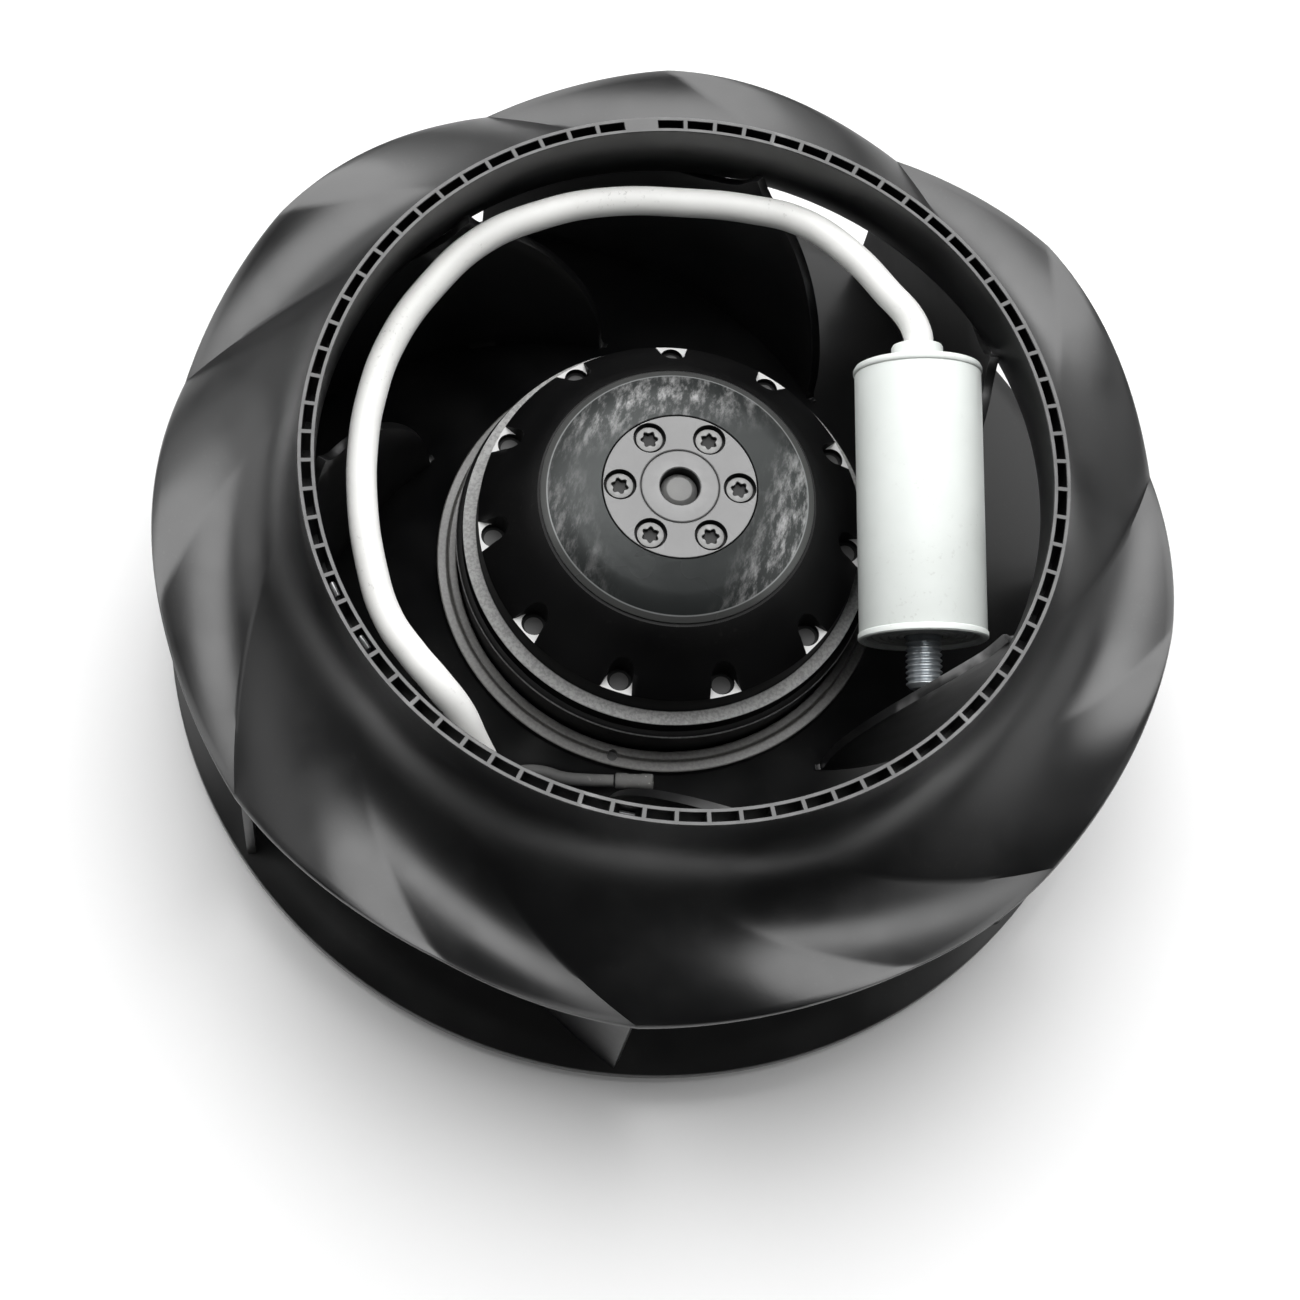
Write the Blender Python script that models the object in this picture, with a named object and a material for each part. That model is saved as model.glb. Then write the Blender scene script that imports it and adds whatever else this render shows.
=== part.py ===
"""Centrifugal fan on an external-rotor motor, with its run capacitor lying in the inlet.

Metres, +Z up. The fan's axis is Z and the origin is on it, in the flange's mounting face.
"""
import math

import bmesh
import bpy
from mathutils import Matrix, Vector

MM = 0.001

# Clearances
FIT_GAP = 0.3 * MM
WELD_GAP = 0.4 * MM
SEAT_GAP = 0.4 * MM
RUNNING_GAP = 2.0 * MM

# Impeller disc
BLADE_COUNT = 7
RIM_RADIUS = 112.0 * MM
RIM_HEIGHT = 5.0 * MM
DISC_THICKNESS = 2.8 * MM
RIM_SLOPE = 0.34
HUB_RADIUS = 50.8 * MM
HUB_TOP = 39.2 * MM
HUB_STEP = 1.2 * MM
HUB_LIP = 2.0 * MM
HUB_WALL = 3.4 * MM
HUB_LENGTH = 21.0 * MM
DISC_DROP_AT_HUB = 1.6 * MM

# Blades: hub tip, trailing edge and leading edge
TIP_RADIUS = 59.9 * MM
TIP_ANGLE = math.radians(12.95)
BLADE_SWEEP = math.radians(62.4)
BLADE_THICKNESS = 2.0 * MM
TRAILING_INSET = 0.4 * MM
LEADING_FOOT = 2.0 * MM
LEADING_DROP = 6.0 * MM
LEADING_ROUNDNESS = 0.5

# Shroud and inlet collar
SHROUD_RADIUS = 112.5 * MM
SHROUD_THICKNESS = 2.0 * MM
EDGE_LOW = 56.0 * MM
EDGE_RISE = 11.3 * MM
CREST_SHARE = 0.57
FALL_POWER = 1.12
WAVE_POWER = 1.6
COLLAR_TOP = 96.6 * MM
COLLAR_HEIGHT = 10.6 * MM
COLLAR_BORE = 77.4 * MM
COLLAR_WALL = 0.9 * MM
POCKET_WIDTH = 1.8 * MM
POCKET_DEPTH = 8.0 * MM
POCKETS_PER_BLADE = 11
RIB_WIDTH = 1.0 * MM
FIRST_POCKET_ANGLE = math.radians(4.54)
FILLED_POCKET = 23
FLARE_DROP = 14.0 * MM
FLARE_REACH = 17.5 * MM
FLARE_RISE = 5.0 * MM
SHROUD_ROWS = 7

# Balance clips: pocket number and how deep the clip is pushed in
CLIP_PLACES = ((-31, 0.4 * MM), (-29, 0.4 * MM), (-19, 2.0 * MM))
CLIP_LENGTH = 3.2 * MM
CLIP_HEIGHT = 5.0 * MM
CLIP_SHEET = 0.35 * MM

# Rotor
ROTOR_RADIUS = 46.0 * MM
ROTOR_BOTTOM = 8.0 * MM
ROTOR_WALL = 2.0 * MM
LIP_HEIGHT = 51.0 * MM
LIP_WIDTH = 0.9 * MM
LIP_DEPTH = 1.2 * MM
SHOULDER_HEIGHT = 55.7 * MM
SHOULDER_INSET = 0.5 * MM
CONE_FOOT_RADIUS = 42.6 * MM
CONE_FOOT_HEIGHT = 62.0 * MM
LABEL_RADIUS = 29.7 * MM
LABEL_HEIGHT = 75.5 * MM
LABEL_THICKNESS = 0.3 * MM
HUB_PLATE_RADIUS = 16.6 * MM
HUB_PLATE_TOP = 80.1 * MM
HUB_PLATE_THICKNESS = 5.6 * MM
HUB_BOSS_RADIUS = 8.3 * MM
ROTOR_END_THICKNESS = 4.7 * MM
HOLE_COUNT = 11
HOLE_RADIUS = 2.6 * MM
HOLE_CIRCLE = 39.3 * MM
HOLE_ANGLE = math.radians(6.4)
HOLE_DEPTH = 10.0 * MM
SPOT_SIDE = 7.2 * MM
SPOT_DEPTH = 2.4 * MM
CORE_TOP = 50.0 * MM
CORE_LENGTH = 36.0 * MM
CAVITY_WALL = 11.0 * MM
CAVITY_CROWN_DROP = 2.0 * MM
SCREW_COUNT = 6
SCREW_CIRCLE = 12.9 * MM
SCREW_ANGLE = math.radians(15.4)
SCREW_HEAD_RADIUS = 2.9 * MM
SCREW_HEAD_HEIGHT = 1.4 * MM
SCREW_SHANK_RADIUS = 1.9 * MM
SCREW_LENGTH = 9.0 * MM
COUNTERBORE_CLEARANCE = 0.65 * MM
COUNTERBORE_DEPTH = 2.5 * MM

# Shaft and bearings
SHAFT_RADIUS = 4.0 * MM
SHAFT_BOTTOM = 5.0 * MM
SHAFT_SINK = 1.5 * MM
BEARING_RADIUS = 11.0 * MM
BEARING_WIDTH = 7.0 * MM
RACE_WALL = 2.1 * MM
BALL_COUNT = 7
CAGE_HALF_SECTION = 0.45 * MM
UPPER_BEARING_BOTTOM = 58.0 * MM
LOWER_BEARING_BOTTOM = 10.7 * MM
SPRING_THICKNESS = 1.4 * MM
SPRING_WIDTH = 2.2 * MM
CIRCLIP_THICKNESS = 1.0 * MM
CIRCLIP_WIDTH = 1.8 * MM
CIRCLIP_OPENING = math.radians(50.0)
REAR_CAP_WALL = 1.4 * MM
REAR_CAP_BOTTOM = 1.0 * MM

# Stator
FLANGE_RADIUS = 45.0 * MM
FLANGE_THICKNESS = 6.0 * MM
TUBE_WALL = 2.7 * MM
TUBE_SHOULDER = 1.8 * MM
TUBE_PAST_BEARING = 1.0 * MM
FIXING_COUNT = 4
FIXING_CIRCLE = 33.0 * MM
FIXING_RADIUS = 1.65 * MM
STATOR_RADIUS = 34.0 * MM
STATOR_LENGTH = 35.0 * MM
AIR_GAP = 0.4 * MM
WINDING_INNER = 17.0 * MM
WINDING_OUTER = 31.0 * MM
UPPER_HEAD_HEIGHT = 10.2 * MM
LOWER_HEAD_HEIGHT = 6.4 * MM
PROTECTOR_SIZE = (12.0 * MM, 6.0 * MM, 4.0 * MM)
GROMMET_CIRCLE = 38.0 * MM
GROMMET_ANGLE = math.radians(45.0)
GROMMET_BORE = 2.6 * MM
GROMMET_WALL = 1.2 * MM
GROMMET_LIP = 1.2 * MM

# Capacitor: where its base stands when the seat needs no lift, and its lean
CAN_RADIUS = 14.1 * MM
CAN_LENGTH = 60.8 * MM
CAN_WALL = 1.2 * MM
CAN_LID = 2.0 * MM
CAN_BEAD = 0.25 * MM
CAN_BASE_RADIUS = 61.2 * MM
CAN_BASE_HEIGHT = 69.8 * MM
CAN_BASE_ANGLE = math.radians(-13.8)
CAN_DIRECTION = Vector((-0.274, 0.941, 0.197))
BASE_PLATE_THICKNESS = 3.0 * MM
BASE_PLATE_SINK = 0.8 * MM
STUD_RADIUS = 4.0 * MM
STUD_LENGTH = 10.6 * MM
STUD_HEAD_RADIUS = 7.0 * MM
STUD_HEAD_HEIGHT = 2.0 * MM
COLLAR_RING_RADIUS = 5.8 * MM
COLLAR_RING_HEIGHT = 4.5 * MM

# Capacitor cable, its leads and their sleeves, in the order they run from the can
CABLE_RADIUS = 3.25 * MM
CABLE_STEP = 7.5 * MM
CABLE_CLEARANCE = 0.5 * MM
CABLE_ROUTE = (
    (31.1, 58.0, 84.0), (21.9, 64.4, 83.6), (9.7, 69.5, 82.4), (-2.7, 69.9, 80.8), (-14.8, 67.8, 80.2),
    (-33.9, 61.0, 81.4), (-45.7, 53.4, 82.2), (-56.6, 43.6, 81.5), (-64.0, 30.1, 80.4), (-68.4, 14.6, 80.0),
    (-68.7, -0.7, 80.2), (-66.9, -12.2, 79.8), (-63.7, -23.0, 79.4), (-58.0, -35.9, 79.6),
    (-50.8, -47.3, 80.4), (-43.3, -54.0, 81.2), (-37.0, -58.2, 80.7), (-31.4, -61.3, 76.8),
    (-26.9, -64.4, 69.4), (-23.4, -65.7, 60.0), (-20.8, -65.4, 46.0),
)
LEAD_RADIUS = 1.4 * MM
LEAD_ROUTES = (
    ((-21.17, -63.83, 45.4), (-20.3, -61.8, 41.5), (-18.3, -58.9, 38.6), (-15.4, -56.6, 37.0),
     (-12.0, -55.7, 36.6), (-7.5, -55.9, 37.1), (-2.0, -55.1, 37.9), (3.6, -53.9, 38.7)),
    ((-20.05, -66.83, 45.4), (-19.4, -67.0, 41.0), (-18.0, -66.8, 36.6), (-14.8, -67.2, 33.0),
     (-10.0, -68.2, 30.8), (-4.4, -69.0, 29.6), (2.4, -69.4, 29.0)),
)
SLEEVE_RADIUS = 1.8 * MM
SLEEVE_LENGTH = 8.4 * MM

# Facets round each turned piece
LARGE_FACETS = 48
MEDIUM_FACETS = 36
SMALL_FACETS = 20
TINY_FACETS = 12

# Values that follow from the sizes above
LOBE = 2.0 * math.pi / BLADE_COUNT
POCKET_COUNT = POCKETS_PER_BLADE * BLADE_COUNT
POCKET_PITCH = 2.0 * math.pi / POCKET_COUNT
COLLAR_RADIUS = COLLAR_BORE + 2.0 * COLLAR_WALL + POCKET_WIDTH
FLARE_TOP = COLLAR_TOP - COLLAR_HEIGHT
SPIRAL_TANGENT = math.log(RIM_RADIUS / TIP_RADIUS) / BLADE_SWEEP
DISC_WIDTH = RIM_RADIUS - HUB_RADIUS
DISC_RISE = HUB_TOP - DISC_DROP_AT_HUB - RIM_HEIGHT - DISC_THICKNESS
DISC_BOW = (DISC_RISE - RIM_SLOPE * DISC_WIDTH) / DISC_WIDTH ** 2
HUB_PLATE_BOTTOM = HUB_PLATE_TOP - HUB_PLATE_THICKNESS
BORE_RADIUS = BEARING_RADIUS + FIT_GAP
TUBE_RADIUS = BORE_RADIUS + TUBE_WALL
INNER_RACE_RADIUS = SHAFT_RADIUS + FIT_GAP + RACE_WALL
OUTER_RACE_BORE = BEARING_RADIUS - RACE_WALL
BALL_CIRCLE = (INNER_RACE_RADIUS + OUTER_RACE_BORE) / 2.0
BALL_RADIUS = (OUTER_RACE_BORE - INNER_RACE_RADIUS) / 2.0 - FIT_GAP
STATOR_BOTTOM = CORE_TOP - STATOR_LENGTH


def clear_scene():
    for old in list(bpy.data.objects):
        bpy.data.objects.remove(old, do_unlink=True)


def make_material(name, colour, roughness, metallic=0.0):
    material = bpy.data.materials.new(name)
    material.use_nodes = True
    shader = material.node_tree.nodes["Principled BSDF"]
    shader.inputs["Base Color"].default_value = (*colour, 1.0)
    shader.inputs["Roughness"].default_value = roughness
    shader.inputs["Metallic"].default_value = metallic
    return material


def make_empty(name, matrix=Matrix.Identity(4)):
    empty = bpy.data.objects.new(name, None)
    bpy.context.collection.objects.link(empty)
    empty.matrix_world = matrix
    return empty


def face_outward(mesh_data):
    bmesh.ops.recalc_face_normals(mesh_data, faces=mesh_data.faces[:])
    if mesh_data.calc_volume(signed=True) < 0.0:
        bmesh.ops.reverse_faces(mesh_data, faces=mesh_data.faces[:])


def finish(name, mesh_data, material, parent=None):
    """Turn a bmesh into a smooth-shaded object."""
    face_outward(mesh_data)
    mesh = bpy.data.meshes.new(name)
    mesh_data.to_mesh(mesh)
    mesh_data.free()
    mesh.materials.append(material)
    mesh.shade_smooth()
    mesh.set_sharp_from_angle(angle=math.radians(35.0))
    obj = bpy.data.objects.new(name, mesh)
    bpy.context.collection.objects.link(obj)
    obj.parent = parent
    return obj


def turned(outline, facets):
    """A bmesh of a closed outline of (radius, height) points turned about Z."""
    mesh_data = bmesh.new()
    points = [mesh_data.verts.new((radius, 0.0, height)) for radius, height in outline]
    edges = []
    for first, second in zip(points, points[1:] + points[:1]):
        if first.co.x > 0.0 or second.co.x > 0.0:
            edges.append(mesh_data.edges.new((first, second)))
    bmesh.ops.spin(mesh_data, geom=points + edges, cent=(0, 0, 0), axis=(0, 0, 1),
                   angle=2.0 * math.pi, steps=facets, use_merge=True)
    bmesh.ops.remove_doubles(mesh_data, verts=mesh_data.verts[:], dist=0.001 * MM)
    return mesh_data


def tube_outline(bore, radius, bottom, top):
    return [(bore, bottom), (radius, bottom), (radius, top), (bore, top)]


def at_angle(radius, angle, height=0.0):
    return Vector((radius * math.cos(angle), radius * math.sin(angle), height))


def make_cutter(name, mesh_data):
    face_outward(mesh_data)
    mesh = bpy.data.meshes.new(name)
    mesh_data.to_mesh(mesh)
    mesh_data.free()
    cutter = bpy.data.objects.new(name, mesh)
    bpy.context.collection.objects.link(cutter)
    cutter.hide_render = True
    cutter.display_type = "WIRE"
    return cutter


def combine(obj, tool, operation="DIFFERENCE"):
    modifier = obj.modifiers.new(tool.name, "BOOLEAN")
    modifier.operation = operation
    modifier.solver = "EXACT"
    modifier.object = tool


def add_round_tool(mesh_data, outline, facets, centre):
    """Add a turned body to a cutter's bmesh."""
    tool = turned(outline, facets)
    tool.transform(Matrix.Translation(centre))
    mesh = bpy.data.meshes.new("round_tool")
    tool.to_mesh(mesh)
    tool.free()
    mesh_data.from_mesh(mesh)
    bpy.data.meshes.remove(mesh)


def disc_height(radius):
    """Height of the disc's upper face."""
    inward = RIM_RADIUS - radius
    return RIM_HEIGHT + DISC_THICKNESS + RIM_SLOPE * inward + DISC_BOW * inward ** 2


def blade_angle(radius):
    """Angle of the first blade's middle line at a radius: a logarithmic spiral."""
    return TIP_ANGLE + math.log(radius / TIP_RADIUS) / SPIRAL_TANGENT


def wave(angle, radius):
    """Rise of the shroud above its crease line, nothing at the collar and full at the edge."""
    past_crease = (angle - blade_angle(radius)) % LOBE / LOBE
    if past_crease < CREST_SHARE:
        share = math.sin(0.5 * math.pi * past_crease / CREST_SHARE)
    else:
        share = 1.0 - ((past_crease - CREST_SHARE) / (1.0 - CREST_SHARE)) ** FALL_POWER
    reach = max(0.0, (radius - COLLAR_RADIUS) / (SHROUD_RADIUS - COLLAR_RADIUS))
    return EDGE_RISE * min(1.0, reach) ** WAVE_POWER * share


def shroud_rows():
    """Upper and under points (radius, height) of the crease's section, from the collar to the edge."""
    start = Vector((COLLAR_RADIUS, FLARE_TOP))
    end = Vector((SHROUD_RADIUS, EDGE_LOW))
    first = start - Vector((0.0, FLARE_DROP))
    second = end + Vector((-FLARE_REACH, FLARE_RISE))
    rows = []
    for index in range(SHROUD_ROWS + 1):
        t = index / SHROUD_ROWS
        s = 1.0 - t
        upper = s ** 3 * start + 3 * s * s * t * first + 3 * s * t * t * second + t ** 3 * end
        run = s * s * (first - start) + 2 * s * t * (second - first) + t * t * (end - second)
        normal = Vector((-run.y, run.x)).normalized()
        wall = (COLLAR_RADIUS - COLLAR_BORE) * s + SHROUD_THICKNESS * t
        rows.append((upper, upper - normal * wall))
    return rows


def shroud_under(radius):
    """Height of the shroud's under face on the crease line."""
    under = [row[1] for row in shroud_rows()]
    for inner, outer in zip(under, under[1:]):
        if inner.x <= radius <= outer.x:
            return inner.y + (outer.y - inner.y) * (radius - inner.x) / (outer.x - inner.x)
    return under[0].y if radius < under[0].x else under[-1].y


def leading_span():
    """Start and end (radius, height) of a blade's leading edge, from the disc to the collar's bore."""
    foot = disc_height(TIP_RADIUS) + WELD_GAP
    return (TIP_RADIUS, foot), (COLLAR_BORE, FLARE_TOP - LEADING_DROP)


def leading_height(radius):
    (foot_radius, foot), (throat_radius, throat) = leading_span()
    share = min(1.0, max(0.0, (radius - foot_radius) / (throat_radius - foot_radius)))
    rise = math.sin(0.5 * math.pi * share) ** LEADING_ROUNDNESS
    return foot + LEADING_FOOT + (throat - foot - LEADING_FOOT) * rise


def make_shroud(material, parent):
    """Shroud with its lobed skirt, and the inlet collar with its balance pockets."""
    mesh_data = bmesh.new()
    rows = shroud_rows()

    def skirt_ring(row, side):
        ring = []
        point = row[side]
        for index in range(POCKET_COUNT):
            angle = blade_angle(point.x) + index * POCKET_PITCH
            ring.append(mesh_data.verts.new(at_angle(point.x, angle, point.y + wave(angle, point.x))))
        return ring

    upper = [skirt_ring(row, 0) for row in rows]
    under = [skirt_ring(row, 1) for row in rows]

    def bridge(first, second):
        for index in range(POCKET_COUNT):
            after = (index + 1) % POCKET_COUNT
            mesh_data.faces.new((first[index], first[after], second[after], second[index]))

    for first, second in zip(upper, upper[1:]):
        bridge(first, second)
    for first, second in zip(under, under[1:]):
        bridge(second, first)
    bridge(upper[-1], under[-1])

    pocket_inner = COLLAR_BORE + COLLAR_WALL
    pocket_outer = pocket_inner + POCKET_WIDTH
    half_opening = 0.5 * (POCKET_PITCH - RIB_WIDTH / (pocket_inner + 0.5 * POCKET_WIDTH))
    shift = round((blade_angle(COLLAR_RADIUS) - FIRST_POCKET_ANGLE + 0.5 * POCKET_PITCH) / POCKET_PITCH)
    first_angle = FIRST_POCKET_ANGLE + shift * POCKET_PITCH
    columns = []
    for index in range(POCKET_COUNT):
        for side in (-1, 1):
            angle = first_angle + index * POCKET_PITCH + side * half_opening
            radii = (COLLAR_BORE, pocket_inner, pocket_outer, COLLAR_RADIUS)
            tops = [mesh_data.verts.new(at_angle(radius, angle, COLLAR_TOP)) for radius in radii]
            columns.append(tops)
    for index in range(POCKET_COUNT):
        start, stop = columns[2 * index], columns[2 * index + 1]
        after = columns[(2 * index + 2) % len(columns)]
        for ring in (0, 2):
            mesh_data.faces.new((start[ring], start[ring + 1], stop[ring + 1], stop[ring]))
            mesh_data.faces.new((stop[ring], stop[ring + 1], after[ring + 1], after[ring]))
        mesh_data.faces.new((stop[1], stop[2], after[2], after[1]))
        following = (index + 1) % POCKET_COUNT
        mesh_data.faces.new((upper[0][index], upper[0][following], after[3], stop[3], start[3]))
        mesh_data.faces.new((under[0][following], under[0][index], start[0], stop[0], after[0]))
        if (index + shift - FILLED_POCKET) % POCKET_COUNT == 0:
            mesh_data.faces.new((start[1], start[2], stop[2], stop[1]))
            continue
        mouth = (start[1], start[2], stop[2], stop[1])
        floor = [mesh_data.verts.new(vert.co - Vector((0.0, 0.0, POCKET_DEPTH))) for vert in mouth]
        mesh_data.faces.new(floor)
        for corner in range(4):
            beside = (corner + 1) % 4
            mesh_data.faces.new((mouth[corner], mouth[beside], floor[beside], floor[corner]))
    return finish("impeller_shroud", mesh_data, material, parent)


def make_disc(material, parent):
    """Dished back disc with the hub collar that grips the rotor."""
    bore = ROTOR_RADIUS + FIT_GAP
    steps = 4
    radii = [HUB_RADIUS + DISC_WIDTH * index / steps for index in range(steps + 1)]
    upper = [(radius, disc_height(radius)) for radius in radii]
    wall_radius = bore + HUB_WALL
    lower = [(radius, disc_height(radius) - DISC_THICKNESS) for radius in reversed(radii)]
    lower.append((wall_radius, disc_height(wall_radius) - DISC_THICKNESS - HUB_STEP))
    hub_bottom = HUB_TOP - HUB_LENGTH
    outline = [(bore, hub_bottom), (bore, HUB_TOP + HUB_STEP), (bore + HUB_LIP, HUB_TOP + HUB_STEP),
               (bore + HUB_LIP, HUB_TOP), (HUB_RADIUS, HUB_TOP)]
    outline += upper + lower + [(wall_radius, hub_bottom)]
    return finish("impeller_disc", turned(outline, LARGE_FACETS), material, parent)


def blade_radii():
    """Stations along a blade: closer steps where the leading edge is steep, then the shroud's own rows."""
    end = RIM_RADIUS - TRAILING_INSET
    throat_radius = leading_span()[1][0]
    steps = 7
    crowding = 1.5
    span = throat_radius - TIP_RADIUS
    radii = [TIP_RADIUS + span * (index / steps) ** crowding for index in range(steps + 1)]
    for row in shroud_rows():
        if throat_radius + WELD_GAP < row[1].x < end - BLADE_THICKNESS:
            radii.append(row[1].x)
    return radii + [end]


def make_blade(index, material, parent):
    """One upright blade, its foot on the disc and its head along the shroud's crease."""
    mesh_data = bmesh.new()
    turn = index * LOBE
    lean = math.atan(SPIRAL_TANGENT)
    columns = []
    for radius in blade_radii():
        angle = blade_angle(radius) + turn
        across = at_angle(0.5 * BLADE_THICKNESS, angle + math.pi - lean)
        middle = at_angle(radius, angle)
        column = []
        for side in (-1.0, 1.0):
            place = middle + side * across
            reach = place.length
            head = min(leading_height(radius), shroud_under(reach + WELD_GAP) - WELD_GAP)
            column.append(mesh_data.verts.new((place.x, place.y, disc_height(reach) + WELD_GAP)))
            column.append(mesh_data.verts.new((place.x, place.y, head)))
        columns.append(column)
    ring = (0, 1, 3, 2)
    for first, second in zip(columns, columns[1:]):
        for corner in range(4):
            a, b = ring[corner], ring[(corner + 1) % 4]
            mesh_data.faces.new((first[a], first[b], second[b], second[a]))
    mesh_data.faces.new([columns[0][corner] for corner in ring])
    mesh_data.faces.new([columns[-1][corner] for corner in reversed(ring)])
    return finish("blade_%d" % (index + 1), mesh_data, material, parent)


def make_clip(index, material, parent):
    """Balance clip: a folded strip pushed into a pocket, fold up."""
    pocket, depth = CLIP_PLACES[index]
    half = 0.5 * POCKET_WIDTH - FIT_GAP
    inner = half - CLIP_SHEET
    top = COLLAR_TOP - depth
    section = [(-half, top - CLIP_HEIGHT), (-half, top), (half, top), (half, top - CLIP_HEIGHT),
               (inner, top - CLIP_HEIGHT), (inner, top - CLIP_SHEET), (-inner, top - CLIP_SHEET),
               (-inner, top - CLIP_HEIGHT)]
    mesh_data = bmesh.new()
    face = mesh_data.faces.new([mesh_data.verts.new((x, -0.5 * CLIP_LENGTH, z)) for x, z in section])
    swept = bmesh.ops.extrude_face_region(mesh_data, geom=[face])
    moved = [item for item in swept["geom"] if isinstance(item, bmesh.types.BMVert)]
    bmesh.ops.translate(mesh_data, verts=moved, vec=(0.0, CLIP_LENGTH, 0.0))
    middle = COLLAR_BORE + COLLAR_WALL + 0.5 * POCKET_WIDTH
    angle = FIRST_POCKET_ANGLE + pocket * POCKET_PITCH
    mesh_data.transform(Matrix.Rotation(angle, 4, "Z") @ Matrix.Translation((middle, 0.0, 0.0)))
    return finish("balance_clip_%d" % (index + 1), mesh_data, material, parent)


def rotor_outline():
    """Outer section of the rotor cup, from its open end to the label's inner edge."""
    seat = LABEL_THICKNESS + FIT_GAP
    recess = LABEL_RADIUS + seat
    plate_edge = HUB_PLATE_RADIUS + FIT_GAP
    return [
        (ROTOR_RADIUS, ROTOR_BOTTOM),
        (ROTOR_RADIUS, LIP_HEIGHT - LIP_DEPTH),
        (ROTOR_RADIUS + LIP_WIDTH, LIP_HEIGHT - 0.5 * LIP_DEPTH),
        (ROTOR_RADIUS + LIP_WIDTH, LIP_HEIGHT),
        (ROTOR_RADIUS - SHOULDER_INSET, LIP_HEIGHT + 0.5 * LIP_DEPTH),
        (ROTOR_RADIUS - SHOULDER_INSET, SHOULDER_HEIGHT),
        (0.35 * CONE_FOOT_RADIUS + 0.65 * (ROTOR_RADIUS - SHOULDER_INSET),
         0.5 * SHOULDER_HEIGHT + 0.5 * CONE_FOOT_HEIGHT),
        (CONE_FOOT_RADIUS, CONE_FOOT_HEIGHT),
        (recess, LABEL_HEIGHT),
        (recess, label_top(recess) - seat),
        (plate_edge, label_top(plate_edge) - seat),
    ]


def label_top(radius):
    """Height of the label's upper face, a shallow cone from the hub plate to the label's edge."""
    share = (LABEL_RADIUS - radius) / (LABEL_RADIUS - HUB_PLATE_RADIUS - FIT_GAP)
    return LABEL_HEIGHT + (HUB_PLATE_TOP - LABEL_HEIGHT) * share


def cone_height(radius):
    """Height of the rotor's cone between its foot and the label."""
    share = (radius - LABEL_RADIUS) / (CONE_FOOT_RADIUS - LABEL_RADIUS)
    return LABEL_HEIGHT + (CONE_FOOT_HEIGHT - LABEL_HEIGHT) * share


def make_rotor_cup(material, parent):
    """Domed cup with blind holes, each in a square spot face."""
    bore = ROTOR_RADIUS - ROTOR_WALL
    core_seat = CORE_TOP + FIT_GAP
    cavity = bore - CAVITY_WALL
    plate_seat = HUB_PLATE_BOTTOM - FIT_GAP
    ceiling = plate_seat - ROTOR_END_THICKNESS
    boss_bore = HUB_BOSS_RADIUS + FIT_GAP
    outline = rotor_outline() + [
        (HUB_PLATE_RADIUS + FIT_GAP, plate_seat),
        (boss_bore, plate_seat),
        (boss_bore, ceiling),
        (HUB_PLATE_RADIUS + 2.0 * FIT_GAP, ceiling),
        (0.5 * (HUB_PLATE_RADIUS + cavity), ceiling - CAVITY_CROWN_DROP),
        (cavity, CORE_TOP + UPPER_HEAD_HEIGHT + RUNNING_GAP),
        (cavity, core_seat),
        (bore, core_seat),
        (bore, ROTOR_BOTTOM),
    ]
    cup = finish("rotor_cup", turned(outline, LARGE_FACETS), material, parent)
    rim = cone_height(HOLE_CIRCLE)
    holes = bmesh.new()
    spots = bmesh.new()
    for index in range(HOLE_COUNT):
        angle = HOLE_ANGLE + index * 2.0 * math.pi / HOLE_COUNT
        section = [(0.0, rim - HOLE_DEPTH), (HOLE_RADIUS, rim - HOLE_DEPTH),
                   (HOLE_RADIUS, rim + HOLE_DEPTH), (0.0, rim + HOLE_DEPTH)]
        add_round_tool(holes, section, TINY_FACETS, at_angle(HOLE_CIRCLE, angle))
        place = (Matrix.Rotation(angle, 4, "Z")
                 @ Matrix.Translation((HOLE_CIRCLE, 0.0, rim - SPOT_DEPTH + HOLE_DEPTH))
                 @ Matrix.Diagonal((SPOT_SIDE, SPOT_SIDE, 2.0 * HOLE_DEPTH, 1.0)))
        bmesh.ops.create_cube(spots, size=1.0, matrix=place)
    combine(cup, make_cutter("rotor_hole_cutter", holes))
    combine(cup, make_cutter("rotor_spot_cutter", spots))
    combine(cup, make_cutter("cup_screw_cutter", screw_holes(TINY_FACETS)))
    return cup


def screw_holes(facets):
    """Cutter for the hub plate's counterbored screw holes."""
    mesh_data = bmesh.new()
    counterbore = SCREW_HEAD_RADIUS + COUNTERBORE_CLEARANCE
    hole = SCREW_SHANK_RADIUS + FIT_GAP
    floor = HUB_PLATE_TOP - COUNTERBORE_DEPTH
    bottom = HUB_PLATE_BOTTOM - 2.0 * ROTOR_END_THICKNESS
    section = [(0.0, bottom), (hole, bottom), (hole, floor), (counterbore, floor),
               (counterbore, HUB_PLATE_TOP + HUB_PLATE_THICKNESS), (0.0, HUB_PLATE_TOP + HUB_PLATE_THICKNESS)]
    for index in range(SCREW_COUNT):
        angle = SCREW_ANGLE + index * 2.0 * math.pi / SCREW_COUNT
        add_round_tool(mesh_data, section, facets, at_angle(SCREW_CIRCLE, angle))
    return mesh_data


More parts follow.
